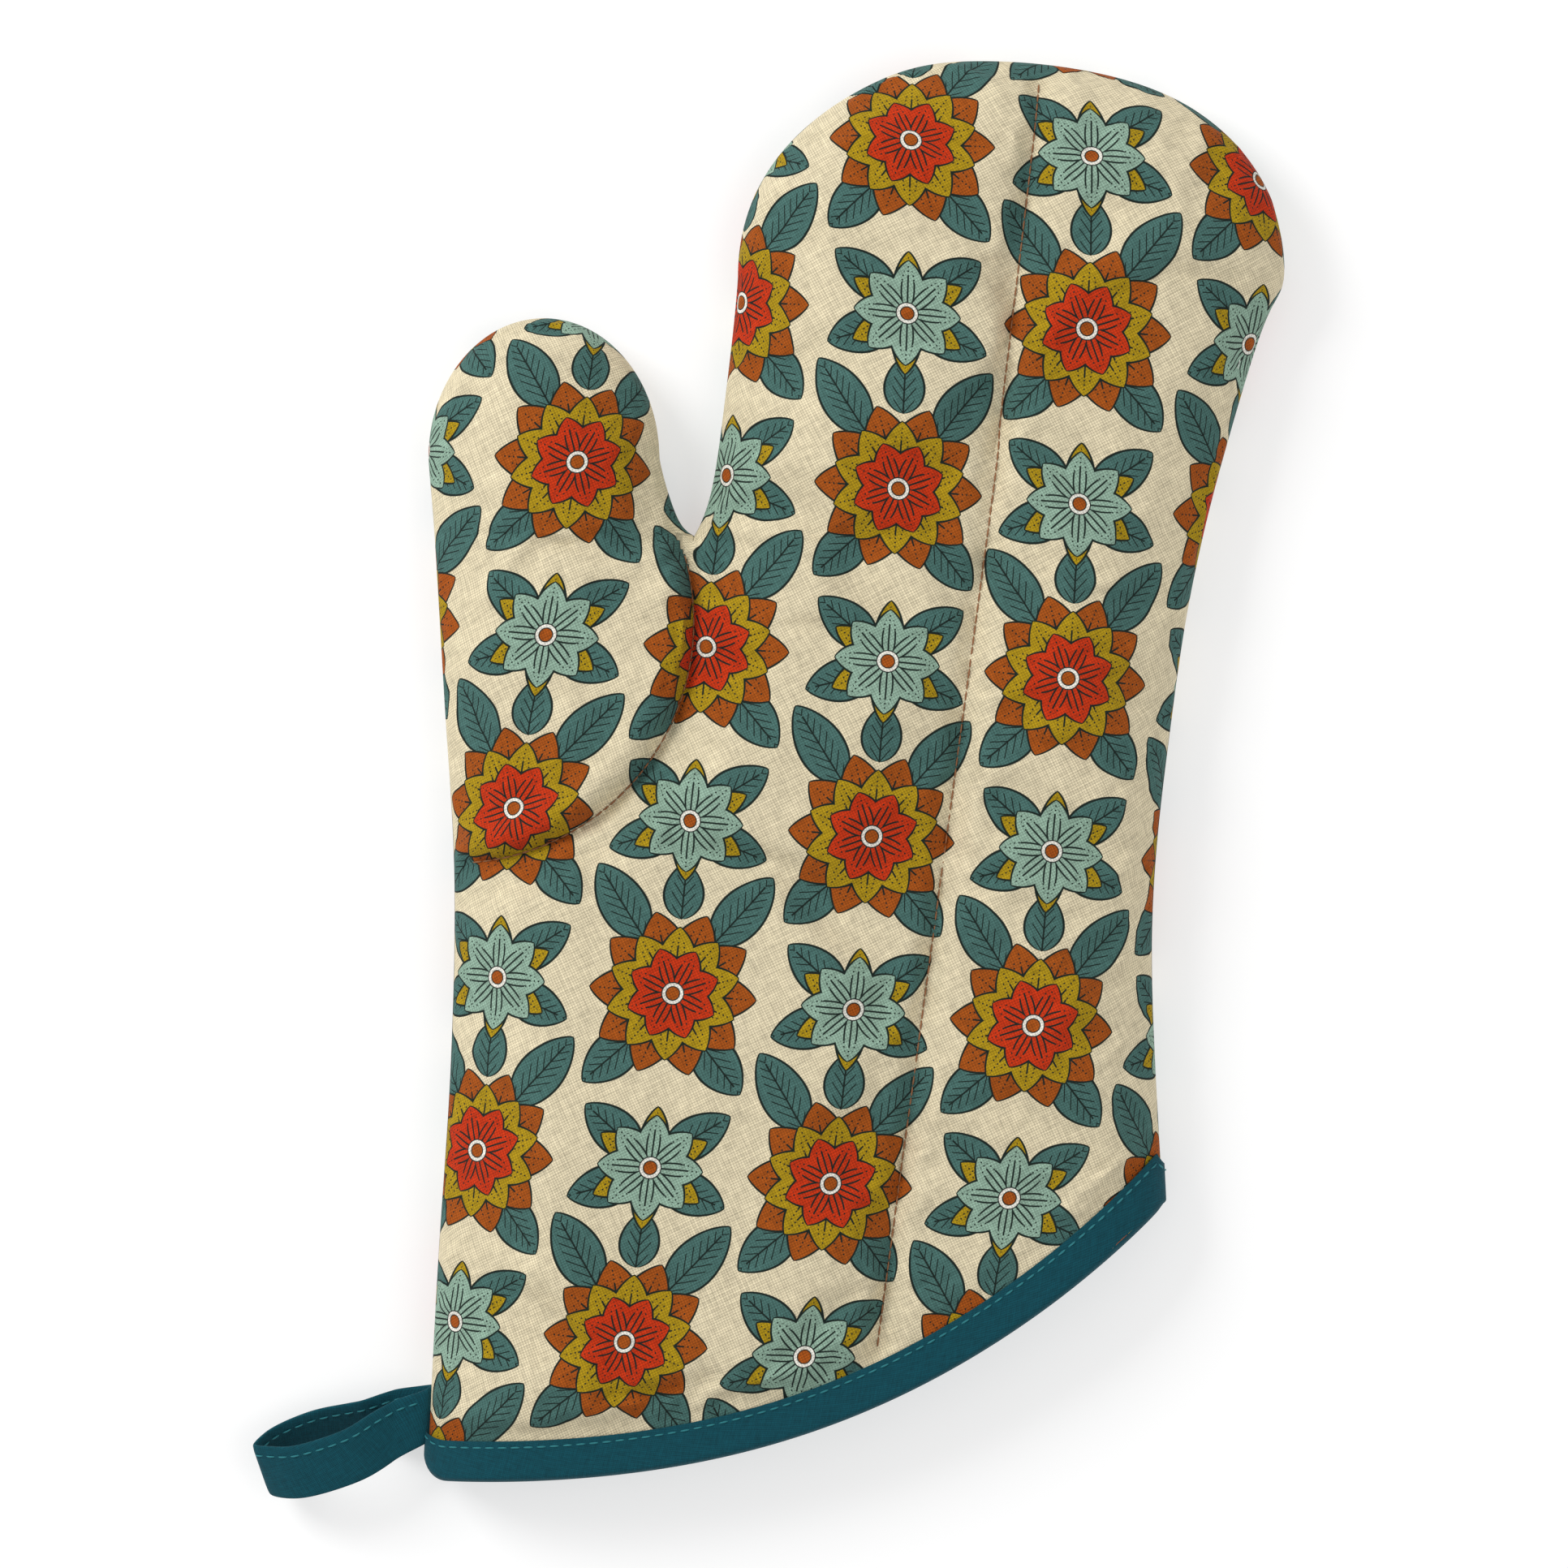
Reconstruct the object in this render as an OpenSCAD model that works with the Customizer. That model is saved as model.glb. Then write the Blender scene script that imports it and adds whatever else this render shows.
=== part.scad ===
// Padded oven mitt with a slanted, bound cuff and a hanging loop.
// It lies on its back face, palm up: fingers along +Y, thumb on the -X side, table at z = 0.
// Each half is three plies, panel, batting and lining, sewn together along the side seam.

/* [Mitt] */
// Length from the low end of the cuff to the fingertips
mitt_len = 325; // [270:1:400]
// Width across the fingers
hand_w = 126; // [105:1:152]
// Length of the rounded finger end, from its widest line to the fingertips
finger_round = 50; // [41:1:60]
// Width of the thumb
thumb_w = 53; // [44:1:64]
// Length of the rounded thumb end, from its widest line to its tip
thumb_round = 32; // [26:1:39]
// How far the thumb tip stops short of the fingertips
thumb_drop = 59; // [49:1:71]
// How far the crotch lies below the thumb tip
crotch_depth = 50; // [41:1:60]
// Distance from the crotch line to the little-finger side, at the wrist
palm_w = 105; // [87:1:126]
// Distance from the crotch line to the thumb side, at the wrist
heel_w = 55; // [45:1:66]
// How much higher the cuff is cut on the little-finger side
cuff_rise = 63; // [40:1:76]

/* [Padding] */
// Thickness of the whole mitt at its crown
mitt_thick = 24; // [20:0.5:30]
// Height of the side seam above the table
seam_h = 9; // [7.5:0.5:11]
// Thickness of the printed cotton panels
panel_t = 0.5; // [0.4:0.1:0.8]
// Thickness of the batting where nothing presses on it
batting_t = 4; // [3:0.25:4.8]
// Thickness of the batting where the side seam catches it
batting_seam_t = 2; // [1.6:0.1:2.4]
// Thickness of the cotton lining
lining_t = 0.4; // [0.3:0.1:0.6]
// Height of the palm at the cuff, as a share of its height at the crown
cuff_loft = 0.9; // [0.8:0.01:1]

/* [Binding] */
// Width of the cuff binding that shows on each face
bind_w = 9; // [7.5:0.5:11]
// Thickness of the folded binding tape
bind_t = 0.6; // [0.5:0.1:0.7]
// How deep the binding presses the plies in
bind_press = 1.4; // [1.3:0.1:1.7]

/* [Loop] */
// Length of the hanging loop, from the seam to its far bend
loop_len = 35; // [29:1:42]
// Width of the folded strap
strap_w = 12.7; // [10:0.1:15]
// Thickness of the folded strap
strap_t = 1.2; // [1:0.1:1.4]
// Height of the loop's eye between the two runs of the strap
eye_h = 11; // [9:0.5:12]

/* [Stitching] */
// Width of a line of stitches
stitch_w = 0.6; // [0.5:0.1:0.8]
// How far a stitch stands above the cloth
stitch_t = 0.3; // [0.2:0.05:0.35]
// Distance of the binding's topstitching from its inner edge
bind_stitch_in = 1.3; // [1:0.1:1.6]
// Distance of the loop's topstitching from the strap's edge
loop_stitch_in = 2; // [1.6:0.1:2.4]

/* [Hidden] */

// Room left between two plies, and between the two halves where they are sewn
ply_gap = 0.1;
seam_gap = 0.5;
// Room between the binding and the plies it wraps
bind_gap = 0.25;
// Room between a swinging piece and the mitt
swing_gap = 0.3;

// The two faces of the mitt
PALM = 1;
BACK = -1;

// ---- Small helpers ----

function mix(a, b, t) = a + (b - a) * t;
function clamp(x) = min(max(x, 0), 1);
function smooth(x) = let (t = clamp(x)) t * t * (3 - 2 * t);
function eased(i, n) = (1 - cos(180 * i / n)) / 2;
function reversed(v) = [for (i = [len(v) - 1:-1:0]) v[i]];
function piece(v, from, to) = [for (i = [from:to]) v[i]];
function flat(v) = [for (a = v) for (b = a) b];

// One point of a smooth curve between b and c, with a and d as its neighbours
function curve_at(a, b, c, d, t) = 0.5 * (2 * b + (c - a) * t
    + (2 * a - 5 * b + 4 * c - d) * t * t + (3 * b - a - 3 * c + d) * t * t * t);
// A smooth curve through all but the first and last knots, n points a span, without its end point
function curve(k, n) = [for (i = [1:len(k) - 3]) for (j = [0:n - 1])
    curve_at(k[i - 1], k[i], k[i + 1], k[i + 2], j / n)];
// An elliptical arc from one angle to another, without its end point
function arc(c, a, b, from, to, n) = [for (i = [0:n - 1])
    let (t = mix(from, to, i / n)) [c[0] + a * cos(t), c[1] + b * sin(t)]];

// Running length along a line, and the point at a given length
function lengths(p, i = 0, sum = [0]) = i >= len(p) - 1 ? sum
    : lengths(p, i + 1, concat(sum, sum[i] + norm(p[i + 1] - p[i])));
function along(p, run, s) = let (i = max([for (j = [0:len(run) - 2]) if (j == 0 || run[j] <= s) j]))
    mix(p[i], p[i + 1], (s - run[i]) / (run[i + 1] - run[i]));
function at_shares(p, shares) = let (run = lengths(p)) [for (f = shares) along(p, run, f * run[len(run) - 1])];

// ---- Outline of the mitt ----

y_top = mitt_len / 2 + 2.5;
y_cuff = y_top - mitt_len;
crotch = [-17.2, y_top - thumb_drop - crotch_depth];
thumb_gap = 8;
finger_gap = 10;
thumb_c = [crotch[0] - thumb_gap - thumb_w / 2, y_top - thumb_drop - thumb_round];
finger_c = [crotch[0] + finger_gap + hand_w / 2, y_top - finger_round];
thumb_l = thumb_c[0] - thumb_w / 2;
thumb_r = thumb_c[0] + thumb_w / 2;
finger_l = finger_c[0] - hand_w / 2;
finger_r = finger_c[0] + hand_w / 2;
wrist_l = crotch[0] - heel_w;
wrist_r = crotch[0] + palm_w;
cuff_flare_l = 6.2;
cuff_flare_r = 2.5;
cuff_l = wrist_l - cuff_flare_l;
cuff_r = wrist_r + cuff_flare_r;

// A height between the cuff and the crotch
function up(share) = mix(y_cuff, crotch[1], share);

thumb_side = curve([[cuff_l - 1, up(-0.2)], [cuff_l, y_cuff], [wrist_l - 4, up(0.21)], [wrist_l - 0.8, up(0.44)],
    [wrist_l, up(0.64)], [wrist_l - 2.4, up(0.83)], [thumb_l + 1.4, crotch[1]], [thumb_l, thumb_c[1]],
    [thumb_l, thumb_c[1] + thumb_round / 3]], 4);
thumb_end = arc(thumb_c, thumb_w / 2, thumb_round, 180, 0, 18);
thumb_web = curve([[thumb_r, thumb_c[1] + thumb_round / 3], [thumb_r, thumb_c[1]],
    [mix(thumb_r, crotch[0], 0.5), mix(thumb_c[1], crotch[1], 0.75)], crotch, crotch + [4, 0]], 3);
finger_web = curve([crotch - [2, -1], crotch, [mix(crotch[0], finger_l, 0.4), mix(crotch[1], finger_c[1], 0.18)],
    [mix(crotch[0], finger_l, 0.72), mix(crotch[1], finger_c[1], 0.55)], [finger_l, finger_c[1]],
    [finger_l, finger_c[1] + finger_round / 3]], 4);
// The finger end is a little fuller than an ellipse, and its tip leans towards the thumb
finger_full = 2.15;
finger_lean = 7;
function fuller(x) = sign(x) * pow(abs(x), 2 / finger_full);
finger_end = [for (p = arc([0, 0], 1, 1, 180, 0, 24)) finger_c
    + [hand_w / 2 * fuller(p[0]) - finger_lean * pow(p[1], 12), finger_round * fuller(p[1])]];
finger_side = curve([[finger_r, finger_c[1] + finger_round / 3], [finger_r, finger_c[1]],
    [mix(wrist_r, finger_r, 0.8), finger_c[1] - finger_round / 4], [mix(wrist_r, finger_r, 0.38), crotch[1]],
    [mix(wrist_r, finger_r, 0.15), mix(up(0.58), crotch[1], 0.55)], [wrist_r, up(0.58)],
    [cuff_r, y_cuff + cuff_rise], [cuff_r + 2, y_cuff + cuff_rise - 40]], 4);
// The side seam's line: up the thumb side, round the thumb, the crotch and the fingers, and down again
outline = concat(thumb_side, thumb_end, thumb_web, finger_web, finger_end, finger_side,
    [[cuff_r, y_cuff + cuff_rise]]);

// Places along the outline where the three areas of the mitt begin and end
i_base_l = 5 * 4;
i_tip_l = len(thumb_side) + 6;
i_tip_r = len(thumb_side) + 12;
i_crotch = len(thumb_side) + len(thumb_end) + len(thumb_web);
i_top_l = i_crotch + len(finger_web) + 7;
i_top_r = i_crotch + len(finger_web) + 17;
i_base_r = i_crotch + len(finger_web) + len(finger_end) + 2 * 4;
i_end = len(outline) - 1;

// The cut edge of the cuff, low on the thumb side and rising ever faster to the other
cuff_power = 2.6;
function cuff_line(x) = y_cuff + cuff_rise * pow(clamp((x - cuff_l) / (cuff_r - cuff_l)), cuff_power);
function cuff_slope(x) = (cuff_line(x + 1) - cuff_line(x - 1)) / 2;
function cuff_sec(x) = sqrt(1 + pow(cuff_slope(x), 2));
// The plies end just inside the fold of the binding
ply_edge = bind_t + bind_gap;
function ply_line(x) = cuff_line(x) + ply_edge * cuff_sec(x);
function from_cuff(p) = (p[1] - ply_line(p[0])) / cuff_sec(p[0]);

// The outline moved inwards, with its two ends kept on the cuff's edge
function inward(i) = let (t = outline[min(i + 1, i_end)] - outline[max(i - 1, 0)]) [t[1], -t[0]] / norm(t);
function moved_in(d) = [for (i = [0:i_end]) let (p = outline[i] + d * inward(i))
    i == 0 || i == i_end ? [p[0], ply_line(p[0])] : p];

// ---- Loft: how far the cloth stands off the seam's plane ----

palm_edge_w = 30;
back_edge_w = 15;
cuff_fade = 70;
press_fade = 6;
function segment_gap(p, a, b) = norm(p - mix(a, b, clamp((p - a) * (b - a) / ((b - a) * (b - a)))));
function edge_gap(p, line) = min([for (i = [0:len(line) - 2]) segment_gap(p, line[i], line[i + 1])]);
function rounded(d, w) = sqrt(1 - pow(1 - clamp(d / w), 2));
function press(p) = bind_press * (1 - smooth((from_cuff(p) - bind_w) / press_fade));
function palm_rise(p) = (mitt_thick - seam_h - seam_gap / 2) * mix(cuff_loft, 1, smooth(from_cuff(p) / cuff_fade))
    - press(p);
function back_drop(p) = seam_h - seam_gap / 2 - press(p);
// Height of a surface that lies depth below the panel's outside, d in from its own edge line
function loft(p, face, depth, d) = face == PALM
    ? seam_h + seam_gap / 2 + (palm_rise(p) - depth) * rounded(d, palm_edge_w)
    : seam_h - seam_gap / 2 - (back_drop(p) - depth) * rounded(d, back_edge_w);
function on_skin(p, face, depth, line) = [p[0], p[1], loft(p, face, depth, edge_gap(p, line))];

// How deep each ply's two faces lie, in the crown and at the seam
panel_in = panel_t;
batting_out = panel_in + ply_gap;
batting_in = batting_out + batting_t;
lining_out = batting_in + ply_gap;
lining_in = lining_out + lining_t;
function seam_inset(depth) = depth <= batting_out ? depth : depth - batting_t + batting_seam_t;

// ---- A skin: three areas of rows and columns that share their borders ----

cuff_cols = 13;
thumb_cols = 5;
finger_cols = cuff_cols - thumb_cols;
low_rows = 15;
thumb_rows = 10;
finger_rows = 12;

// Fills the space between four border lines, with the rows' shares along the two sides
function filled(bottom, top, left, right, share_l, share_r) = let (m = len(bottom) - 1, n = len(left) - 1)
    [for (j = [0:n]) [for (i = [0:m]) let (u = i / m, v = mix(share_l[j], share_r[j], u))
        j == 0 ? bottom[i] : j == n ? top[i] : i == 0 ? left[j] : i == m ? right[j]
        : mix(bottom[i], top[i], v) + mix(left[j], right[j], u)
        - mix(mix(left[0], right[0], u), mix(left[n], right[n], u), v)]];

// Rows of the low area: at the cuff, either side of the binding's inner edge, then evenly
function low_shares(side) = let (run = lengths(side), whole = run[len(run) - 1])
    concat([0, (bind_w - 1) / whole, (bind_w + 2) / whole, (bind_w + press_fade) / whole],
        [for (j = [1:low_rows - 3]) mix((bind_w + press_fade) / whole, 1, j / (low_rows - 3))]);
function tip_shares(n) = [for (j = [0:n]) sin(90 * j / n)];

function areas(line) = let (
        base = concat(
            [for (i = [0:thumb_cols]) mix(line[i_base_l], line[i_crotch], eased(i, thumb_cols))],
            [for (i = [1:finger_cols]) mix(line[i_crotch], line[i_base_r], eased(i, finger_cols))]),
        cuff = [for (i = [0:cuff_cols]) let (x = mix(line[0][0], line[i_end][0], eased(i, cuff_cols)))
            [x, ply_line(x)]],
        low_l = piece(line, 0, i_base_l),
        low_r = reversed(piece(line, i_base_r, i_end)),
        thumb_edge_l = piece(line, i_base_l, i_tip_l),
        thumb_edge_r = reversed(piece(line, i_tip_r, i_crotch)),
        finger_edge_l = piece(line, i_crotch, i_top_l),
        finger_edge_r = reversed(piece(line, i_top_r, i_base_r)),
        share_l = low_shares(low_l),
        share_r = low_shares(low_r),
        thumb_share = tip_shares(thumb_rows),
        finger_share = tip_shares(finger_rows))
    [filled(cuff, base, at_shares(low_l, share_l), at_shares(low_r, share_r), share_l, share_r),
     filled(piece(base, 0, thumb_cols),
        at_shares(piece(line, i_tip_l, i_tip_r), [for (i = [0:thumb_cols]) i / thumb_cols]),
        at_shares(thumb_edge_l, thumb_share), at_shares(thumb_edge_r, thumb_share), thumb_share, thumb_share),
     filled(piece(base, thumb_cols, cuff_cols),
        at_shares(piece(line, i_top_l, i_top_r), [for (i = [0:finger_cols]) i / finger_cols]),
        at_shares(finger_edge_l, finger_share), at_shares(finger_edge_r, finger_share),
        finger_share, finger_share)];

function skin(face, depth) = let (line = moved_in(seam_inset(depth)))
    [for (area = areas(line)) [for (row = area) [for (p = row) on_skin(p, face, depth, line)]]];

// Faces between four corners, as two triangles
function quad(a, b, c, d) = [[a, b, c], [a, c, d]];

// Faces of one area: its outer skin from index o, its inner skin from index i, and walls on open borders
function area_faces(rows, cols, o, i, walls) = let (w = cols + 1) concat(
    flat([for (r = [0:rows - 1]) for (c = [0:cols - 1]) let (k = r * w + c)
        concat(quad(o + k, o + k + w, o + k + w + 1, o + k + 1), quad(i + k, i + k + 1, i + k + w + 1, i + k + w))]),
    flat([for (e = border(rows, cols, walls)) quad(o + e[1], o + e[0], i + e[0], i + e[1])]));
// Edges of an area's open borders, each running with the area on its right
function border(rows, cols, walls) = let (w = cols + 1) concat(
    [for (r = [0:rows - 1]) [r * w, r * w + w]],
    [for (r = [0:rows - 1]) [(r + 1) * w + cols, r * w + cols]],
    walls == "bottom" ? [for (c = [0:cols - 1]) [c + 1, c]]
        : [for (c = [0:cols - 1]) [rows * w + c, rows * w + c + 1]]);

// One ply of one half of the mitt, between two depths
module ply(face, outer, inner) {
    out = skin(face, outer);
    in = skin(face, inner);
    n_low = (low_rows + 1) * (cuff_cols + 1);
    n_thumb = (thumb_rows + 1) * (thumb_cols + 1);
    n_finger = (finger_rows + 1) * (finger_cols + 1);
    n = n_low + n_thumb + n_finger;
    faces = concat(
        area_faces(thumb_rows, thumb_cols, n_low, n + n_low, "top"),
        area_faces(finger_rows, finger_cols, n_low + n_thumb, n + n_low + n_thumb, "top"),
        area_faces(low_rows, cuff_cols, 0, n, "bottom"));
    points = concat(flat(flat(out)), flat(flat(in)));
    polyhedron(points, face == PALM ? faces : [for (f = faces) reversed(f)]);
}

// ---- Sweeps: rings of points joined one after another ----

function ring_faces(n, m, closed) = flat([for (k = [0:closed ? n - 1 : n - 2]) for (j = [0:m - 1])
    let (a = k * m, b = (k + 1) % n * m, q = (j + 1) % m) quad(a + j, a + q, b + q, b + j)]);
module sweep(rings, closed = false) {
    n = len(rings);
    m = len(rings[0]);
    caps = closed ? [] : [[for (j = [m - 1:-1:0]) j], [for (j = [0:m - 1]) (n - 1) * m + j]];
    polyhedron(flat(rings), concat(ring_faces(n, m, closed), caps));
}

// ---- Cuff binding ----

// A point on the cuff: its share across, its distance in from the plies' edge, how far the line is moved in
// from the outline and how deep it lies
cuff_steps = cuff_cols;
function cuff_point(face, share, a, inset, depth) = let (
        line = moved_in(inset),
        x = mix(line[0][0], line[i_end][0], share),
        lean = mix(line[1] - line[0], line[i_end - 1] - line[i_end], share),
        p = [x, ply_line(x)] + a * cuff_sec(x) * lean / lean[1],
        d = min(edge_gap(p, line), share == 0 || share == 1 ? 0 : 1e6),
        mouth = [x, ply_line(x)])
    [p[0], p[1], share == 0 || share == 1 ? seam_h
        : loft(a < 0 ? mouth : p, face, depth, a < 0 ? edge_gap(mouth, line) : d)];
bind_lap = bind_w - ply_edge;
function bind_ring(face, share) = let (
        skin_out = -bind_gap - bind_t,
        skin_in = lining_in + bind_gap,
        inset_in = seam_inset(lining_in) + bind_gap)
    [cuff_point(face, share, bind_lap, skin_out, skin_out),
     cuff_point(face, share, -ply_edge, skin_out, skin_out),
     cuff_point(face, share, -ply_edge, inset_in + bind_t, skin_in + bind_t),
     cuff_point(face, share, bind_lap, inset_in + bind_t, skin_in + bind_t),
     cuff_point(face, share, bind_lap, inset_in, skin_in),
     cuff_point(face, share, -bind_gap, inset_in, skin_in),
     cuff_point(face, share, -bind_gap, -bind_gap, -bind_gap),
     cuff_point(face, share, bind_lap, -bind_gap, -bind_gap)];
// Stations round the mouth: underneath from thumb side to little-finger side, and back over the palm
mouth_stations = concat([for (i = [0:cuff_steps]) [BACK, eased(i, cuff_steps)]],
    [for (i = [cuff_steps - 1:-1:1]) [PALM, eased(i, cuff_steps)]]);

// ---- Hanging loop: a closed band, flat together at its root in the side seam ----

root_fold = 0.9;
loop_root = [cuff_l - bind_gap - bind_t - swing_gap - strap_t / 2 - root_fold, y_cuff + 14.5, seam_h];
loop_tip = loop_root + [-loop_len, -12.5, 0];
loop_low = 2.1;
loop_high = loop_low + strap_t + eye_h;
// Width directions of the strap at its root and in its free part
strap_at_root = [0, 1, 0];
strap_lean = [-0.29, 0.93, 0.2];
// Knots of the strap's middle line: share of the way to the tip, sideways shift, height
loop_knots = [for (k = [[0, -0.3, seam_h + strap_t * 0.62], [0.2, -2.2, mix(seam_h, loop_high, 0.6)],
        [0.42, -3.9, loop_high], [0.75, -3.4, loop_high - 0.6], [0.97, -0.7, mix(loop_low, loop_high, 0.68)],
        [1, 0.9, mix(loop_low, loop_high, 0.4)], [0.9, 2.9, loop_low + 0.6], [0.65, 3.5, loop_low],
        [0.4, 2.3, loop_low + 1], [0.18, 1, mix(seam_h, loop_low, 0.5)], [0, 0.3, seam_h - strap_t * 0.62]])
    let (p = mix(loop_root, loop_tip, k[0])) [p[0], p[1] + k[1], k[2]]];
loop_wrapped = concat([loop_knots[len(loop_knots) - 1]], loop_knots, [loop_knots[0], loop_knots[1]]);
loop_line = curve(loop_wrapped, 4);
function unit(v) = v / norm(v);
function loop_frame(i) = let (n = len(loop_line),
        t = unit(loop_line[(i + 1) % n] - loop_line[(i + n - 1) % n]),
        free = smooth((loop_root[0] - loop_line[i][0]) / 12),
        w = unit(mix(strap_at_root, unit(strap_lean - (strap_lean * t) * t), free)))
    [w, unit(cross(t, w))];
// One ring of a band that follows the strap, across from one edge offset to another, between two heights
function band_ring(i, from, to, low, high) = let (f = loop_frame(i), p = loop_line[i])
    [p + from * f[0] + low * f[1], p + from * f[0] + high * f[1], p + to * f[0] + high * f[1], p + to * f[0] + low * f[1]];

// ---- Stitch lines on the palm ----

// Room between a row of stitches and the cloth under it, on the binding and on the palm
stitch_lift = 0.15;
palm_stitch_lift = 0.42;

quilt_line = curve([[finger_c[0] + 6.5, y_top + 20], [finger_c[0] + 6, y_top - 5], [finger_c[0] - 2.5, finger_c[1] - 28],
    [finger_c[0] - 6, crotch[1]], [finger_c[0] - 28, up(0.25)], [finger_c[0] - 31.5, up(0.12)],
    [finger_c[0] - 32.5, up(0.05)], [finger_c[0] - 34, up(0)]], 6);
tuck_r = heel_w;
tuck_c = [wrist_l, crotch[1] - 20];
tuck_steps = 20;
tuck_line = [for (i = [0:tuck_steps]) let (t = mix(17, -86, i / tuck_steps)) tuck_c + tuck_r * [cos(t), sin(t)]];
// A flat row of stitches lying on the palm panel along a line
module stitched(line) {
    clear = [for (p = line) if (from_cuff(p) > bind_w + press_fade) p];
    last = len(clear) - 1;
    sweep([for (i = [0:last]) let (
            t = unit(clear[min(i + 1, last)] - clear[max(i - 1, 0)]),
            side = stitch_w / 2 * [-t[1], t[0]],
            z = [for (s = [-1, 0, 1]) on_skin(clear[i] + s * side, PALM, 0, outline)[2]],
            low = max(z) + palm_stitch_lift, a = clear[i] + side, b = clear[i] - side)
        [[a[0], a[1], low], [b[0], b[1], low], [b[0], b[1], low + stitch_t], [a[0], a[1], low + stitch_t]]]);
}

// ---- The pieces ----

module palm_panel() { color("wheat") ply(PALM, 0, panel_in); }
module back_panel() { color("wheat") ply(BACK, 0, panel_in); }
module palm_batting() { color("white") ply(PALM, batting_out, batting_in); }
module back_batting() { color("white") ply(BACK, batting_out, batting_in); }
module palm_lining() { color("ivory") ply(PALM, lining_out, lining_in); }
module back_lining() { color("ivory") ply(BACK, lining_out, lining_in); }
module cuff_binding() {
    color("teal") sweep([for (s = mouth_stations) bind_ring(s[0], s[1])], closed = true);
}
module hanging_loop() {
    color("teal") sweep([for (i = [0:len(loop_line) - 1])
        band_ring(i, -strap_w / 2, strap_w / 2, -strap_t / 2, strap_t / 2)], closed = true);
}
// The thread that closes the mitt, in the seam between its two halves
module side_seam() {
    outer = moved_in(1);
    inner = moved_in(1 + stitch_w);
    z = stitch_t / 2;
    color("tan") sweep([for (i = [0:i_end]) [[outer[i][0], outer[i][1], seam_h - z], [inner[i][0], inner[i][1], seam_h - z],
        [inner[i][0], inner[i][1], seam_h + z], [outer[i][0], outer[i][1], seam_h + z]]]);
}
module quilt_seam() { color("sienna") stitched(quilt_line); }
module thumb_tuck_seam() { color("sienna") stitched(tuck_line); }
module binding_topstitch() {
    lift = -bind_gap - bind_t - stitch_lift;
    a = bind_lap - bind_stitch_in;
    top = lift - stitch_t;
    color("lightseagreen") sweep([for (s = mouth_stations)
        [cuff_point(s[0], s[1], a, lift, lift), cuff_point(s[0], s[1], a, top, top),
         cuff_point(s[0], s[1], a - stitch_w, top, top), cuff_point(s[0], s[1], a - stitch_w, lift, lift)]],
        closed = true);
}
module loop_topstitch() {
    edge = strap_w / 2 - loop_stitch_in;
    low = strap_t / 2 + stitch_lift;
    n = len(loop_line);
    color("lightseagreen") sweep([for (i = [6:n - 6]) band_ring(i, edge - stitch_w, edge, low, low + stitch_t)]);
}

palm_panel();
back_panel();
palm_batting();
back_batting();
palm_lining();
back_lining();
cuff_binding();
hanging_loop();
side_seam();
quilt_seam();
thumb_tuck_seam();
binding_topstitch();
loop_topstitch();
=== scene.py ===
"""Oven mitt: two printed, padded halves, a bound cuff and a hanging loop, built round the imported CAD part."""
import math

import bpy
import numpy as np
from bpy.props import FloatProperty, FloatVectorProperty, IntProperty, PointerProperty
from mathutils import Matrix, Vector


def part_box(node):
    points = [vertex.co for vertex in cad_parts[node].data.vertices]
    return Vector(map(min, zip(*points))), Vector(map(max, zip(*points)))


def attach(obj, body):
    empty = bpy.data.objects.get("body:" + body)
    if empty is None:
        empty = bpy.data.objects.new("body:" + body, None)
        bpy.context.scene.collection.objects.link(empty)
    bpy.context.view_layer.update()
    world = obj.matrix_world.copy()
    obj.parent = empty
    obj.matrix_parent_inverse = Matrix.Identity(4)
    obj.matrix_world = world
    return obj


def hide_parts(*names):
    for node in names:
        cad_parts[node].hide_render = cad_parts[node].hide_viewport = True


bl_info = {
    "name": "Oven Mitt",
    "version": (1, 0, 0),
    "blender": (4, 5, 0),
    "location": "3D View > Sidebar > Oven Mitt",
    "description": "Makes a padded oven mitt with a bound cuff and a hanging loop",
    "category": "Add Mesh",
}

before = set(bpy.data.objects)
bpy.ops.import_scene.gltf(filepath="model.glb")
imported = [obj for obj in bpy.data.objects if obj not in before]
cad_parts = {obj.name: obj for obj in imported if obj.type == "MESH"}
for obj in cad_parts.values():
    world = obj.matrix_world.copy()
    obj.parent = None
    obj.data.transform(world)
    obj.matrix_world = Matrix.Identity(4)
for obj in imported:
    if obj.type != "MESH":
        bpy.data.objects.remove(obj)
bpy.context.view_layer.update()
MM = 0.001
PALM_LO, PALM_HI = (np.array(v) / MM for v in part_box("palm_panel"))
BACK_LO, BACK_HI = (np.array(v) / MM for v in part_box("back_panel"))
TAPE_LO, TAPE_HI = (np.array(v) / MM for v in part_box("cuff_binding"))
STRAP_LO, STRAP_HI = (np.array(v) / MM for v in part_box("hanging_loop"))
PALM, BACK = 1, -1


# ---- Sizes and colours that a user would change ----

def measure(label, words, value):
    """A length in metres that a user may change."""
    return FloatProperty(name=label, description=words, default=value, unit="LENGTH")


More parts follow.
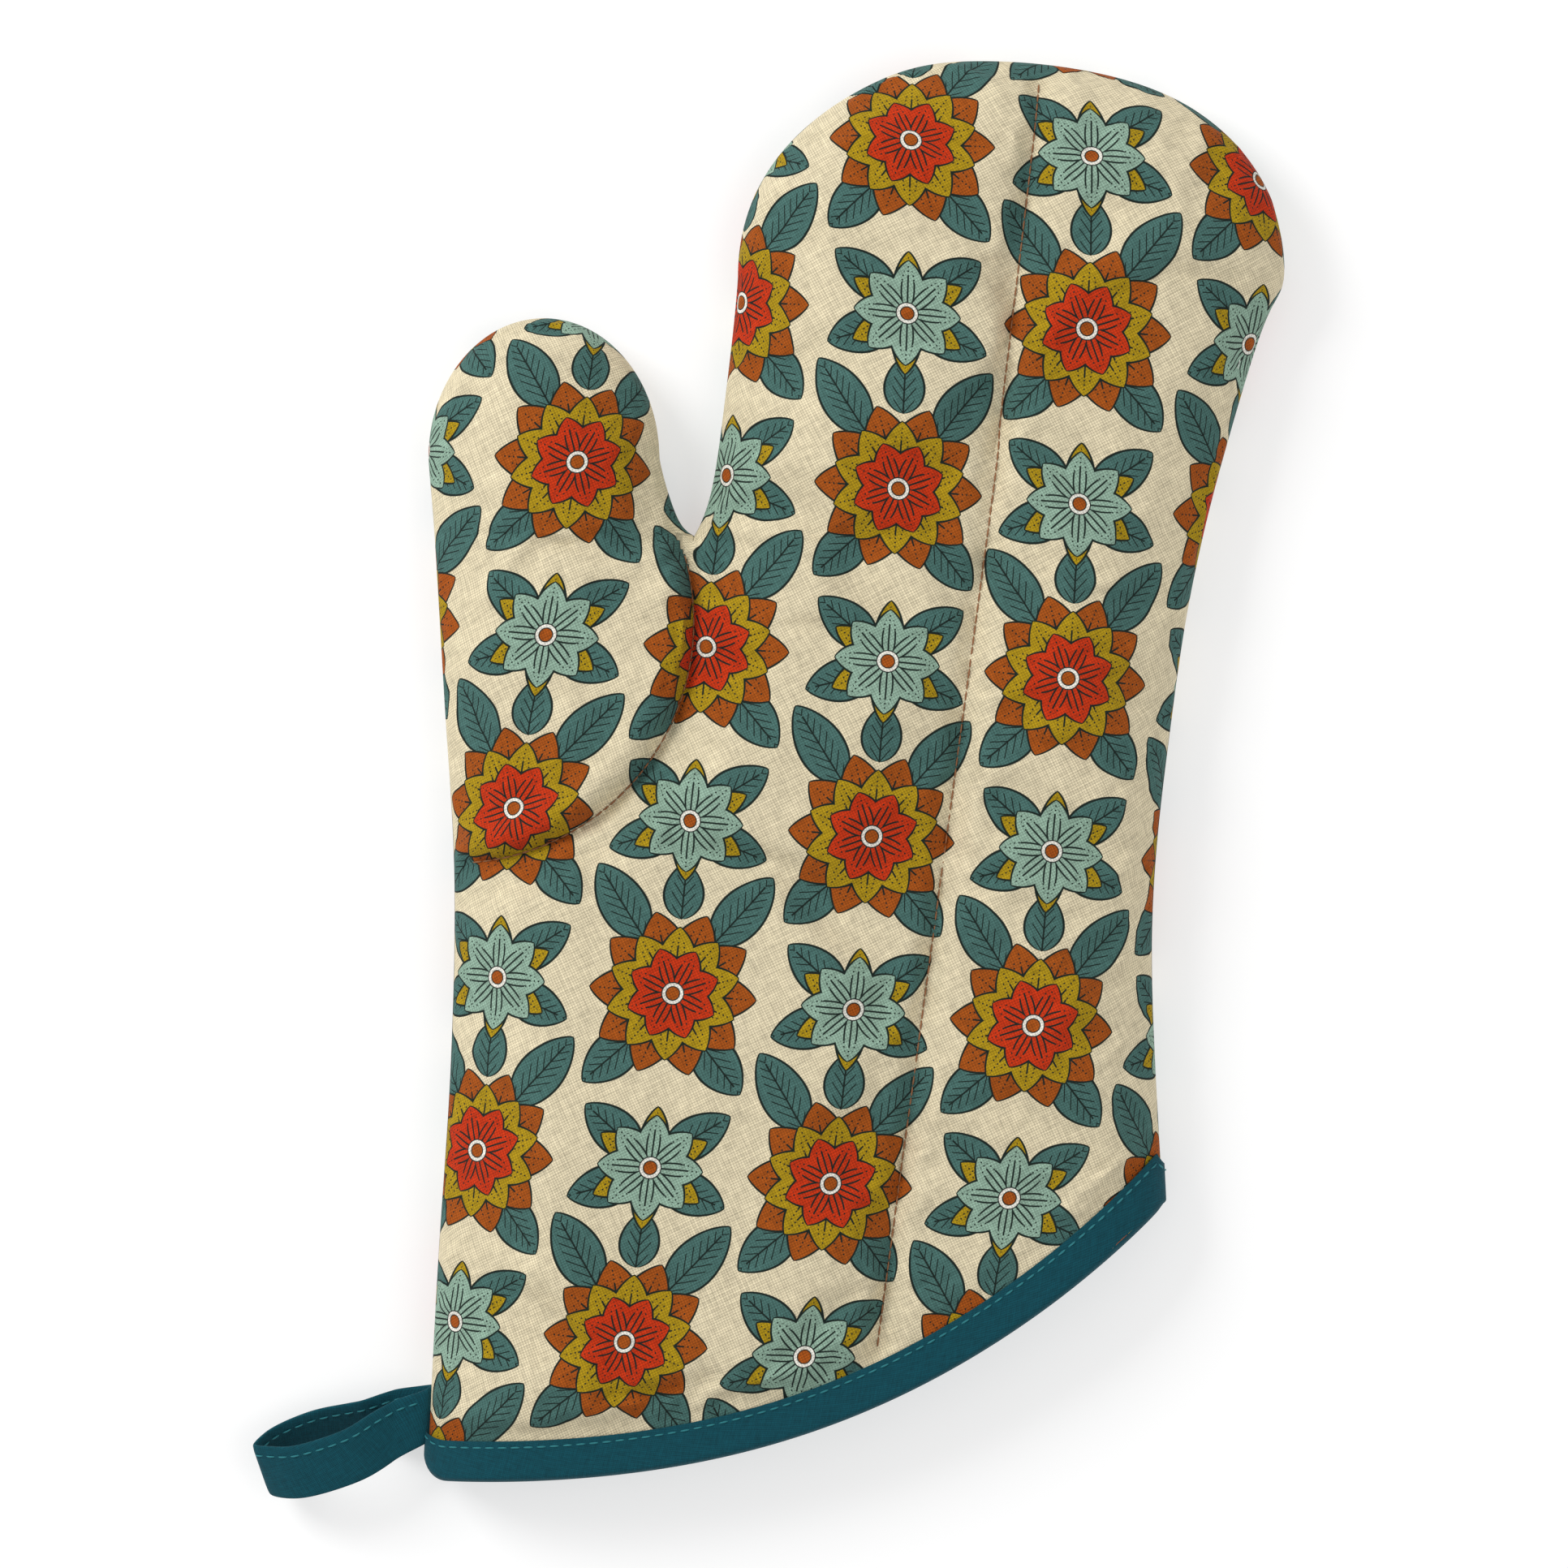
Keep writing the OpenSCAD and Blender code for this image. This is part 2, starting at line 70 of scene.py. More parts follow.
class MittSizes(bpy.types.PropertyGroup):
    """Lengths of the mitt, in metres, and the seed of its wrinkles."""
    palm_puff: measure("Palm puff", "How much higher the padding swells between its seams", 0.0012)
    groove_depth: measure("Groove depth", "How deep the quilt seam sinks into the padding", 0.0034)
    groove_width: measure("Groove width", "Half width of the quilt seam's groove", 0.0030)
    tuck_depth: measure("Tuck depth", "How deep the tuck round the thumb's base sinks", 0.0030)
    wrinkle: measure("Wrinkles", "Height of the soft wrinkles in the cover", 0.0005)
    corner_pull: measure("Corner pull", "How far the side seam pulls the cuff's low corner up", 0.0055)
    stitch_pitch: measure("Stitch pitch", "Distance from one stitch to the next", 0.003)
    print_column: measure("Print column", "Distance between two columns of the print", 0.0413)
    print_repeat: measure("Print repeat", "Height of one repeat of the print", 0.0796)
    thread_pitch: measure("Thread pitch", "Distance between two threads of the cotton", 0.00060)
    seed: IntProperty(name="Seed", description="Seed of the wrinkles", default=11)


def tint(label, words, value):
    """A colour that a user may change."""
    return FloatVectorProperty(name=label, description=words, subtype="COLOR", size=3, min=0, max=1,
                               default=value)


class MittColours(bpy.types.PropertyGroup):
    """Colours of the printed cotton, the tape and the threads."""
    cream: tint("Cream", "Ground of the print", (0.640, 0.560, 0.385))
    ink: tint("Ink", "Outlines and veins of the print", (0.009, 0.017, 0.014))
    teal: tint("Teal", "Leaves of the print", (0.056, 0.132, 0.118))
    mint: tint("Mint", "Star daisies", (0.240, 0.362, 0.282))
    rust: tint("Rust", "Outer petals and flower centres", (0.310, 0.069, 0.006))
    red: tint("Red", "Inner petals", (0.46, 0.030, 0.004))
    mustard: tint("Mustard", "Middle petals and small leaves", (0.345, 0.225, 0.006))
    white: tint("White", "Rings round the flower centres", (0.70, 0.68, 0.61))
    tape: tint("Tape", "Binding and hanging loop", (0.002, 0.056, 0.077))
    tape_thread: tint("Tape thread", "Topstitching on the tape", (0.012, 0.19, 0.22))
    seam_thread: tint("Seam thread", "Stitches of the quilt seam and the thumb tuck", (0.30, 0.12, 0.045))
    lining: tint("Lining", "Plain cotton inside", (0.70, 0.64, 0.50))
    wadding: tint("Wadding", "Padding between the cloths", (0.78, 0.77, 0.73))


# ---- Small helpers on whole arrays ----

def mix(a, b, t):
    """a where t is 0, b where it is 1, and straight between them."""
    return a + (b - a) * t


def smooth(x):
    """Three times the square less twice the cube of x kept between 0 and 1."""
    t = np.clip(x, 0, 1)
    return t * t * (3 - 2 * t)


def eased(n):
    """n + 1 shares from 0 to 1, closer together at both ends, as a half turn of a cosine."""
    return (1 - np.cos(np.pi * np.arange(n + 1) / n)) / 2


def curve(knots, n):
    """A Catmull-Rom curve through all but the first and last knots, n points a span, without its end."""
    k = np.array(knots, float)
    a, b, c, d = (k[i:len(k) - 3 + i, None] for i in range(4))
    t = (np.arange(n) / n)[None, :, None]
    p = 0.5 * (2 * b + (c - a) * t + (2 * a - 5 * b + 4 * c - d) * t ** 2 + (3 * b - a - 3 * c + d) * t ** 3)
    return p.reshape(-1, k.shape[1])


def arc(centre, a, b, start, end, n):
    """An ellipse's arc between two angles in degrees, n points, without its end."""
    t = np.radians(mix(start, end, np.arange(n) / n))
    return np.array(centre) + np.stack([a * np.cos(t), b * np.sin(t)], 1)


def run_of(p):
    """Running length along a line of points, starting from 0."""
    return np.concatenate([[0], np.cumsum(np.linalg.norm(np.diff(p, axis=0), axis=1))])


def at_lengths(p, s):
    """The points at lengths s along a line of points, each column read off straight between its
    neighbours."""
    run = run_of(p)
    return np.stack([np.interp(s, run, p[:, k]) for k in range(p.shape[1])], -1)


def at_shares(p, shares):
    """The points at shares of the whole length of a line of points."""
    return at_lengths(p, np.asarray(shares) * run_of(p)[-1])


def unit(v):
    """Vectors divided by their lengths."""
    return v / np.maximum(np.linalg.norm(v, axis=-1, keepdims=True), 1e-9)


def nearest(p, line):
    """For each point of p, the distance to a line of points and the nearest point on it."""
    a, e = line[:-1], np.diff(line, axis=0)
    ee = (e ** 2).sum(1)
    flat = p.reshape(-1, 2)
    best, foot = np.empty(len(flat)), np.empty_like(flat)
    for k in range(0, len(flat), 4000):
        r = flat[k:k + 4000, None] - a
        t = np.clip((r * e).sum(2) / ee, 0, 1)
        gap = r - t[..., None] * e
        d2 = (gap ** 2).sum(2)
        i = d2.argmin(1)
        j = np.arange(len(i))
        best[k:k + 4000] = np.sqrt(d2[j, i])
        foot[k:k + 4000] = a[i] + t[j, i, None] * e[i]
    return best.reshape(p.shape[:-1]), foot.reshape(p.shape)


def ripple(x, y, size, seed, count=14):
    """Soft waves: a sum of sines in seeded directions, with wavelengths near size, between about -1 and 1."""
    r = np.random.default_rng(seed)
    total = 0
    for turn, length, phase in zip(r.uniform(0, np.pi, count), size * r.uniform(0.7, 1.5, count),
                                   r.uniform(0, 2 * np.pi, count)):
        total = total + np.sin(2 * np.pi * (x * np.cos(turn) + y * np.sin(turn)) / length + phase)
    return total / math.sqrt(count) / 1.2


# ---- Outline, in millimetres, as the part's source gives it ----

FINE = 5
LENGTH, THICK, HAND_W, THUMB_W = 325.0, float(PALM_HI[2]), 126.0, 53.0
FINGER_ROUND, THUMB_ROUND, THUMB_DROP, CROTCH_DEPTH = 50.0, 32.0, 59.0, 50.0
PALM_W, HEEL_W, CUFF_RISE = 105.0, 55.0, 63.0
Y_TOP = LENGTH / 2 + 2.5
Y_CUFF = Y_TOP - LENGTH
CROTCH = np.array([-17.2, Y_TOP - THUMB_DROP - CROTCH_DEPTH])
THUMB_C = np.array([CROTCH[0] - 8 - THUMB_W / 2, Y_TOP - THUMB_DROP - THUMB_ROUND])
FINGER_C = np.array([CROTCH[0] + 10 + HAND_W / 2, Y_TOP - FINGER_ROUND])
WRIST_L, WRIST_R = CROTCH[0] - HEEL_W, CROTCH[0] + PALM_W
CUFF_L, CUFF_R = WRIST_L - 6.2, WRIST_R + 2.5
SEAM_H, SEAM_GAP = 9.0, 0.1
TUCK_C, TUCK_R = np.array([WRIST_L, CROTCH[1] - 20]), HEEL_W
BIND_W, BIND_T, BIND_GAP = 9.0, 0.6, 0.25
PLY_EDGE = BIND_T + BIND_GAP
PANEL_IN, WAD_OUT, WAD_IN, LINING_OUT, LINING_IN = 0.5, 0.6, 4.6, 4.7, 5.1


SOFT_BEFORE, SOFT_AFTER, SOFT_PASSES = 12, 34, 40


def up(share):
    """A height between the cuff's low corner and the crotch."""
    return mix(Y_CUFF, CROTCH[1], share)


def mitt_outline():
    """The side seam's line, up the thumb side, round the thumb, the crotch and the fingers and down
    again, with the counts of its stretches. Sides are Catmull-Rom curves, the thumb's end is an ellipse,
    and the finger end is a slightly squared ellipse whose tip leans to the thumb by the twelfth power of
    its height. Where it meets the side the line is averaged with its neighbours, as padding rounds it."""
    c, tl, tr = CROTCH, THUMB_C[0] - THUMB_W / 2, THUMB_C[0] + THUMB_W / 2
    fl, fr = FINGER_C[0] - HAND_W / 2, FINGER_C[0] + HAND_W / 2
    ty, fy = THUMB_C[1], FINGER_C[1]
    thumb_side = curve([[CUFF_L - 1, up(-0.2)], [CUFF_L, Y_CUFF], [WRIST_L - 4, up(0.21)],
                        [WRIST_L - 0.8, up(0.44)], [WRIST_L, up(0.64)], [WRIST_L - 2.4, up(0.83)],
                        [tl + 1.4, c[1]], [tl, ty], [tl, ty + THUMB_ROUND / 3]], 4 * FINE)
    thumb_end = arc(THUMB_C, THUMB_W / 2, THUMB_ROUND, 180, 0, 18 * FINE)
    thumb_web = curve([[tr, ty + THUMB_ROUND / 3], [tr, ty], [mix(tr, c[0], 0.5), mix(ty, c[1], 0.75)], c,
                       c + [4, 0]], 3 * FINE)
    finger_web = curve([c - [2, -1], c, [mix(c[0], fl, 0.4), mix(c[1], fy, 0.18)],
                        [mix(c[0], fl, 0.72), mix(c[1], fy, 0.55)], [fl, fy],
                        [fl, fy + FINGER_ROUND / 3]], 4 * FINE)
    round_end = arc([0, 0], 1, 1, 180, 0, 24 * FINE)
    full = np.sign(round_end) * np.abs(round_end) ** (2 / 2.15)
    finger_end = FINGER_C + np.stack([HAND_W / 2 * full[:, 0] - 7 * round_end[:, 1] ** 12,
                                      FINGER_ROUND * full[:, 1]], 1)
    finger_side = curve([[fr, fy + FINGER_ROUND / 3], [fr, fy],
                         [mix(WRIST_R, fr, 0.8), fy - FINGER_ROUND / 4], [mix(WRIST_R, fr, 0.38), c[1]],
                         [mix(WRIST_R, fr, 0.15), mix(up(0.58), c[1], 0.55)], [WRIST_R, up(0.58)],
                         [CUFF_R, Y_CUFF + CUFF_RISE], [CUFF_R + 2, Y_CUFF + CUFF_RISE - 40]], 4 * FINE)
    parts = [thumb_side, thumb_end, thumb_web, finger_web, finger_end, finger_side]
    counts = [len(p) for p in parts]
    line = np.concatenate(parts + [[[CUFF_R, Y_CUFF + CUFF_RISE]]])
    first, last = sum(counts[:5]) - SOFT_BEFORE, sum(counts[:5]) + SOFT_AFTER
    for _ in range(SOFT_PASSES):
        line[first:last] = (line[first - 1:last - 1] + 2 * line[first:last] + line[first + 1:last + 1]) / 4
    return line, counts


OUTLINE, COUNTS = mitt_outline()
I_BASE_L = 5 * 4 * FINE
I_TIP_L, I_TIP_R = COUNTS[0] + 6 * FINE, COUNTS[0] + 12 * FINE
I_CROTCH = sum(COUNTS[:3])
I_TOP_L, I_TOP_R = sum(COUNTS[:4]) + 7 * FINE, sum(COUNTS[:4]) + 17 * FINE
I_BASE_R = sum(COUNTS[:5]) + 2 * 4 * FINE


def cuff_line(x):
    """The cuff's cut edge: low on the thumb side, rising with the power 2.6 of the share across."""
    return Y_CUFF + CUFF_RISE * np.clip((x - CUFF_L) / (CUFF_R - CUFF_L), 0, 1) ** 2.6


def cuff_sec(x):
    """The secant of the cuff line's slope: the root of 1 plus the square of the slope, read over 2 mm."""
    return np.sqrt(1 + ((cuff_line(x + 1) - cuff_line(x - 1)) / 2) ** 2)


def ply_line(x):
    """The plies' cut edge, PLY_EDGE inside the cuff line at right angles to it."""
    return cuff_line(x) + PLY_EDGE * cuff_sec(x)


def from_cuff(p):
    """How far in from the plies' cut edge points are, at right angles to it."""
    return (p[..., 1] - ply_line(p[..., 0])) / cuff_sec(p[..., 0])


def pulled_up(p):
    """Points of the cuff with its low corner rounded: within pull of the corner they rise along the
    quarter of a circle, by half as much at the binding's inner edge and not at all 18 mm up."""
    pull = bpy.context.scene.mitt_sizes.corner_pull / MM
    share = 1 - np.clip((p[..., 0] - OUTLINE[0, 0] + PLY_EDGE + 0.1) / max(pull, 0.01), 0, 1)
    lift = pull * (1 - np.sqrt(1 - share ** 2)) * (1 - smooth(from_cuff(p) / 18))
    q = np.array(p)
    q[..., 1] += lift
    return q


def moved_in(d):
    """The outline moved inwards by d, with its two ends kept on the plies' cut edge."""
    t = np.gradient(OUTLINE, axis=0)
    p = OUTLINE + d * unit(np.stack([t[:, 1], -t[:, 0]], 1))
    for i in (0, -1):
        p[i, 1] = ply_line(p[i, 0])
    return p


# ---- Loft ----

PALM_EDGE, BACK_EDGE = 30.0, 15.0


def rounded(d, w):
    """A quarter ellipse: 0 at the seam, 1 at w from it."""
    return np.sqrt(1 - (1 - np.clip(d / w, 0, 1)) ** 2)


def press(p):
    """How much the binding flattens the plies: 1.4 mm up to its edge, gone 6 mm further in."""
    return 1.4 * (1 - smooth((from_cuff(p) - BIND_W) / 6))


def loft(p, face, depth, d):
    """Height of a surface depth below the cover's outside, d in from its own edge: a quarter ellipse up
    from the side seam to the palm's crown, or down to the table, pressed flatter under the binding."""
    if face == PALM:
        rise = (THICK - SEAM_H - SEAM_GAP / 2 - 0.6) * mix(0.9, 1, smooth(from_cuff(p) / 70)) - press(p)
        return SEAM_H + SEAM_GAP / 2 + (rise - depth) * rounded(d, PALM_EDGE)
    drop = SEAM_H - SEAM_GAP / 2 - press(p)
    return SEAM_H - SEAM_GAP / 2 - (drop - depth) * rounded(d, BACK_EDGE)


def quilt_line():
    """The quilt seam's line along the palm: a Catmull-Rom curve from the finger end to the cuff."""
    f, t = FINGER_C, Y_TOP
    return curve([[f[0] + 6.5, t + 20], [f[0] + 6, t - 5], [f[0] - 2.5, f[1] - 28], [f[0] - 6, CROTCH[1]],
                  [f[0] - 28, up(0.25)], [f[0] - 31.5, up(0.12)], [f[0] - 32.5, up(0.05)],
                  [f[0] - 34, up(0)]], 40)


def tuck_line():
    """The tuck's line: a circle's arc round the thumb's base."""
    return arc(TUCK_C, TUCK_R, TUCK_R, 17, -86, 240)


def round_tuck(p):
    """How far outside the tuck's circle each point is, and its turn round the circle in degrees."""
    x, y = p[..., 0] - TUCK_C[0], p[..., 1] - TUCK_C[1]
    return np.hypot(x, y) - TUCK_R, np.degrees(np.arctan2(y, x))


WAVE_LONG, WAVE_SHORT, WAVE_SEAM = 62, 21, 13
HOLLOW, HOLLOW_W = 1.1, 9
TUCK_W, TUCK_HOLLOW, THUMB_SWELL = 2.2, 1.0, 1.7
FAN_FOLDS, FAN_REACH, FAN_OUTSIDE, FAN_UNDER = 9, 20, 0.9, 0.5


def relief(p, d, size, spare=0.0):
    """What the padding's swelling, its seams and its wrinkles add to the palm's height: soft waves, less
    a bell shaped groove along the quilt seam and one along the tuck with the thumb side swelling over it,
    plus folds that fan out of the crotch and die away. Under the cover the grooves are spare wider, so no
    ply comes through."""
    x, y = p[..., 0], p[..., 1]
    inside = smooth(d / 12) * smooth((from_cuff(p) - BIND_W) / 14)
    high = size.palm_puff / MM * (0.45 + 0.55 * ripple(x, y, WAVE_LONG, size.seed)) * inside
    high = high + size.wrinkle / MM * ripple(x, y, WAVE_SHORT, size.seed + 1) * inside
    gap = np.maximum(nearest(p, quilt_line())[0] - spare, 0)
    pull = 1 + 0.25 * ripple(x, y, WAVE_SEAM, size.seed + 2)
    fade = smooth(d / 7) * smooth((from_cuff(p) - BIND_W + 3) / 8)
    groove = np.exp(-(gap / (size.groove_width / MM)) ** 1.4)
    high = high - size.groove_depth / MM * pull * groove * fade
    high = high - HOLLOW * np.exp(-(gap / HOLLOW_W) ** 2) * fade
    out, turn = round_tuck(p)
    held = smooth((turn + 96) / 14) * (1 - smooth((turn - 12) / 16)) * smooth(d / 3)
    high = high - size.tuck_depth / MM * np.exp(-(np.maximum(np.abs(out) - spare, 0) / TUCK_W) ** 1.3) * held
    high = high + THUMB_SWELL * np.exp(-((out + 5) / 5) ** 2) * (out < 0) * held * smooth(-out / 3)
    high = high - TUCK_HOLLOW * np.exp(-((out - 3) / 6) ** 2) * held * (1 - smooth(-out / 1.5))
    r = np.hypot(x - CROTCH[0], y - CROTCH[1])
    fan = np.sin(np.arctan2(y - CROTCH[1], x - CROTCH[0]) * FAN_FOLDS + 0.8)
    fan_high = FAN_OUTSIDE if spare == 0 else FAN_UNDER
    return high + fan_high * fan * smooth(r / 8) * np.exp(-(r / FAN_REACH) ** 2) * smooth(d / 5)


# ---- Skins: three areas of rows and columns that share their borders ----

def filled(bottom, top, left, right, share_l, share_r):
    """A Coons patch: the two rows mixed by v plus the two sides mixed by u, less the mixed corners."""
    u = np.linspace(0, 1, len(bottom))[None, :, None]
    v = mix(share_l[:, None, None], share_r[:, None, None], u)
    g = (mix(bottom[None], top[None], v) + mix(left[:, None], right[:, None], u)
         - mix(mix(left[0], right[0], u), mix(left[-1], right[-1], u), v))
    g[0], g[-1], g[1:-1, 0], g[1:-1, -1] = bottom, top, left[1:-1], right[1:-1]
    return g


def areas(line, detail):
    """The low, thumb and finger areas inside a line, as grids of points, detail times as fine as 13
    columns."""
    tc, fc = 5 * detail, 8 * detail
    tr, fr, lr = 6 * detail, 8 * detail, 14 * detail
    base = np.concatenate([mix(line[I_BASE_L], line[I_CROTCH], eased(tc)[:, None]),
                           mix(line[I_CROTCH], line[I_BASE_R], eased(fc)[1:, None])])
    x = mix(line[0, 0], line[-1, 0], eased(tc + fc))
    cuff = np.stack([x, ply_line(x)], 1)
    low_l, low_r = line[:I_BASE_L + 1], line[I_BASE_R:][::-1]
    even = np.linspace(0, 1, lr + 1)

    def end(bottom, rows, foot_l, top_l, top_r, foot_r):
        """The area up to a rounded end, its rows closer together at the top as a quarter turn of a sine."""
        close = np.sin(np.pi / 2 * np.linspace(0, 1, rows + 1))
        return filled(bottom, at_shares(line[top_l:top_r + 1], np.linspace(0, 1, len(bottom))),
                      at_shares(line[foot_l:top_l + 1], close),
                      at_shares(line[top_r:foot_r + 1][::-1], close), close, close)

    return [filled(cuff, base, at_shares(low_l, even), at_shares(low_r, even), even, even),
            end(base[:tc + 1], tr, I_BASE_L, I_TIP_L, I_TIP_R, I_CROTCH),
            end(base[tc:], fr, I_CROTCH, I_TOP_L, I_TOP_R, I_BASE_R)]


def joined(grids):
    """The three grids as one list of points, with the numbers of each grid's points, borders shared."""
    low, thumb, finger = grids
    tc = thumb.shape[1] - 1
    n_low, n_thumb = low.shape[0] * low.shape[1], (thumb.shape[0] - 1) * thumb.shape[1]
    i_low = np.arange(n_low).reshape(low.shape[:2])
    i_thumb = np.vstack([i_low[-1, :tc + 1], (n_low + np.arange(n_thumb)).reshape(-1, thumb.shape[1])])
    i_finger = np.vstack([i_low[-1, tc:], n_low + n_thumb
                          + np.arange((finger.shape[0] - 1) * finger.shape[1]).reshape(-1, finger.shape[1])])
    points = np.concatenate([low.reshape(-1, 2), thumb[1:].reshape(-1, 2), finger[1:].reshape(-1, 2)])
    return points, (i_low, i_thumb, i_finger)


def quads(i):
    """The faces of a grid of point numbers, seen from the side where its rows turn left onto its columns."""
    return np.stack([i[:-1, :-1], i[:-1, 1:], i[1:, 1:], i[1:, :-1]], -1).reshape(-1, 4)


def rim(numbers):
    """The border of the three joined grids, in order, round to where it began."""
    low, thumb, finger = numbers
    return np.concatenate([low[:, 0], thumb[1:, 0], thumb[-1, 1:], thumb[:-1, -1][::-1], finger[1:, 0],
                           finger[-1, 1:], finger[:-1, -1][::-1], low[:-1, -1][::-1], low[0, :-1][::-1]])


def new_piece(name, points, faces, uv=None, sharp=40):
    """A mesh object from whole arrays of points in millimetres and faces, smooth but for edges over sharp
    degrees."""
    mesh = bpy.data.meshes.new(name)
    mesh.from_pydata((np.asarray(points) * MM).tolist(), [], [list(f) for f in faces])
    mesh.validate()
    mesh.polygons.foreach_set("use_smooth", np.ones(len(mesh.polygons), bool))
    if uv is not None:
        loops = np.empty(len(mesh.loops), np.int32)
        mesh.loops.foreach_get("vertex_index", loops)
        layer = mesh.uv_layers.new(name="cloth")
        layer.data.foreach_set("uv", (np.asarray(uv)[loops] * MM).astype(np.float32).ravel())
    mesh.set_sharp_from_angle(angle=math.radians(sharp))
    mesh.update()
    obj = bpy.data.objects.new(name, mesh)
    bpy.context.scene.collection.objects.link(obj)
    return obj


def as_piece(obj, body, slot, material, *nodes):
    """Gives an object its material and its body, and hides the CAD nodes that it stands for. The slot is not
    used.
    """
    obj.data.materials.append(material)
    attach(obj, body)
    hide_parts(*nodes)
    return obj


# ---- Cloth coordinates: where each point of a cover was on the flat printed cotton ----

def edge_stretch(d, w, rise):
    """How much longer the cloth is than its shadow on the table, from d in from the seam to the crown:
    the quarter ellipse's running length less its width."""
    t = np.linspace(0, np.pi / 2, 400)
    step = np.sqrt((w * np.sin(t)) ** 2 + (rise * np.cos(t)) ** 2)
    run = np.concatenate([[0], np.cumsum((step[1:] + step[:-1]) / 2 * np.diff(t))])
    longer = run[-1] - run - w * np.cos(t)
    return np.interp(np.clip(d, 0, w), w * (1 - np.cos(t)), longer)


BACK_SHIFT_X, BACK_SHIFT_Y = 21.0, 18.0
COTTON_X, COTTON_Y, COTTON_TOP = 32.1, 66.4, 143.9
COTTON_SLANT, COTTON_BEND, COTTON_RISE, COTTON_MIDDLE = 0.012, 2.793e-4, 0.088, 28.4
THUMB_TURN, THUMB_AT, THUMB_LIFT = 0.117, 5.4, 0.6


def cloth_uv(p, face, d, foot, thumb):
    """Across and along the print, in millimetres: the cover's place, let out towards the side seam by the
    cloth's extra length there, then slanted and bent as the cotton was cut, with the thumb's piece turned
    a little more."""
    out = unit(foot - p)
    t = np.gradient(OUTLINE, axis=0)
    rim_points = np.flatnonzero(d < 0.02)
    near = ((p[rim_points, None] - OUTLINE) ** 2).sum(2).argmin(1)
    out[rim_points] = unit(np.stack([-t[near, 1], t[near, 0]], 1))
    w, rise = (PALM_EDGE, THICK - SEAM_H) if face == PALM else (BACK_EDGE, SEAM_H)
    q = p + out * edge_stretch(d, w, rise)[..., None]
    x, y = q[..., 0], q[..., 1]
    if face == BACK:
        x, y = -x + BACK_SHIFT_X, y + BACK_SHIFT_Y
    s = COTTON_TOP - y
    u = x - COTTON_X + COTTON_SLANT * s + COTTON_BEND * s ** 2
    v = y - COTTON_Y + COTTON_RISE * (x - COTTON_MIDDLE)
    if face == PALM:
        u = u - np.where(thumb, THUMB_TURN * (y + THUMB_AT), 0)
        v = v + np.where(thumb, THUMB_LIFT, 0)
    return np.stack([u, v], -1)


def thumb_side_of_tuck(p, numbers):
    """True for the points on the thumb's side of the tuck."""
    inside = round_tuck(p)[0] < 0
    inside[numbers[1][1:].ravel()] = True
    inside[numbers[2][1:].ravel()] = False
    return inside


def between(g):
    """A grid twice as fine, each new point a cubic through its four neighbours: (9 (b + c) - a - d) / 16."""
    for _ in range(2):
        e = np.concatenate([2 * g[:1] - g[1:2], g, 2 * g[-1:] - g[-2:-1]])
        mid = (9 * (e[1:-2] + e[2:-1]) - e[:-3] - e[3:]) / 16
        fine = np.empty((2 * len(g) - 1,) + g.shape[1:])
        fine[::2], fine[1::2] = g, mid
        g = fine.swapaxes(0, 1)
    return g


STEPS, CLOTH_OVER, PRESSURE, CAP, SINK = 20, 0.035, 4.0, 3.2, 0.3


def swelling(size, detail):
    """How far each point of the palm cover moves when the padding pushes it out against its seams, in
    millimetres. The cover's own grid, at half its detail, is held along the side seam, the quilt seam,
    the tuck and the binding, and swells under pressure as cloth cut a little too large. No point moves
    further than CAP, nor sinks by more than SINK, and its moves along the table are halved."""
    grids = areas(OUTLINE, detail // 2)
    p, numbers = joined(grids)
    d, _ = nearest(p, OUTLINE)
    z = loft(p, PALM, 0, d) + 0.6 * relief(p, d, size)
    start = np.column_stack([p, z])
    gap, _ = nearest(p, quilt_line())
    out, turn = round_tuck(p)
    on_tuck = (np.abs(out) < TUCK_W) & (turn > -90) & (turn < 20)
    held = (d < 0.8) | (gap < 1.9) | (from_cuff(p) < BIND_W + 2) | on_tuck
    obj = new_piece("swelling_cover", start, np.concatenate([quads(i) for i in numbers]))
    pins = obj.vertex_groups.new(name="held")
    pins.add(np.flatnonzero(held).tolist(), 1.0, "REPLACE")
    cloth = obj.modifiers.new("Cloth", "CLOTH")
    s = cloth.settings
    s.quality, s.mass, s.time_scale = 6, 0.2, 1.0
    s.tension_stiffness = s.compression_stiffness = 12
    s.bending_stiffness = 0.6
    s.shrink_min = -CLOTH_OVER
    s.use_pressure, s.uniform_pressure_force = True, PRESSURE
    s.effector_weights.gravity = 0
    s.vertex_group_mass = "held"
    cloth.collision_settings.use_collision = False
    scene = bpy.context.scene
    for step in range(1, STEPS + 1):
        scene.frame_set(step)
    seen = obj.evaluated_get(bpy.context.evaluated_depsgraph_get()).data
    now = np.empty(len(seen.vertices) * 3)
    seen.vertices.foreach_get("co", now)
    move = now.reshape(-1, 3) / MM - start
    scene.frame_set(1)
    bpy.data.objects.remove(obj)
    move *= np.minimum(1, CAP / np.maximum(np.linalg.norm(move, axis=1), 1e-6))[:, None]
    move[:, :2] *= 0.5
    move[:, 2] = np.maximum(move[:, 2], -SINK)
    fine = [between(move[i]) for i in numbers]
    return np.concatenate([fine[0].reshape(-1, 3), fine[1][1:].reshape(-1, 3), fine[2][1:].reshape(-1, 3)])


UNDER_SPARE = 3


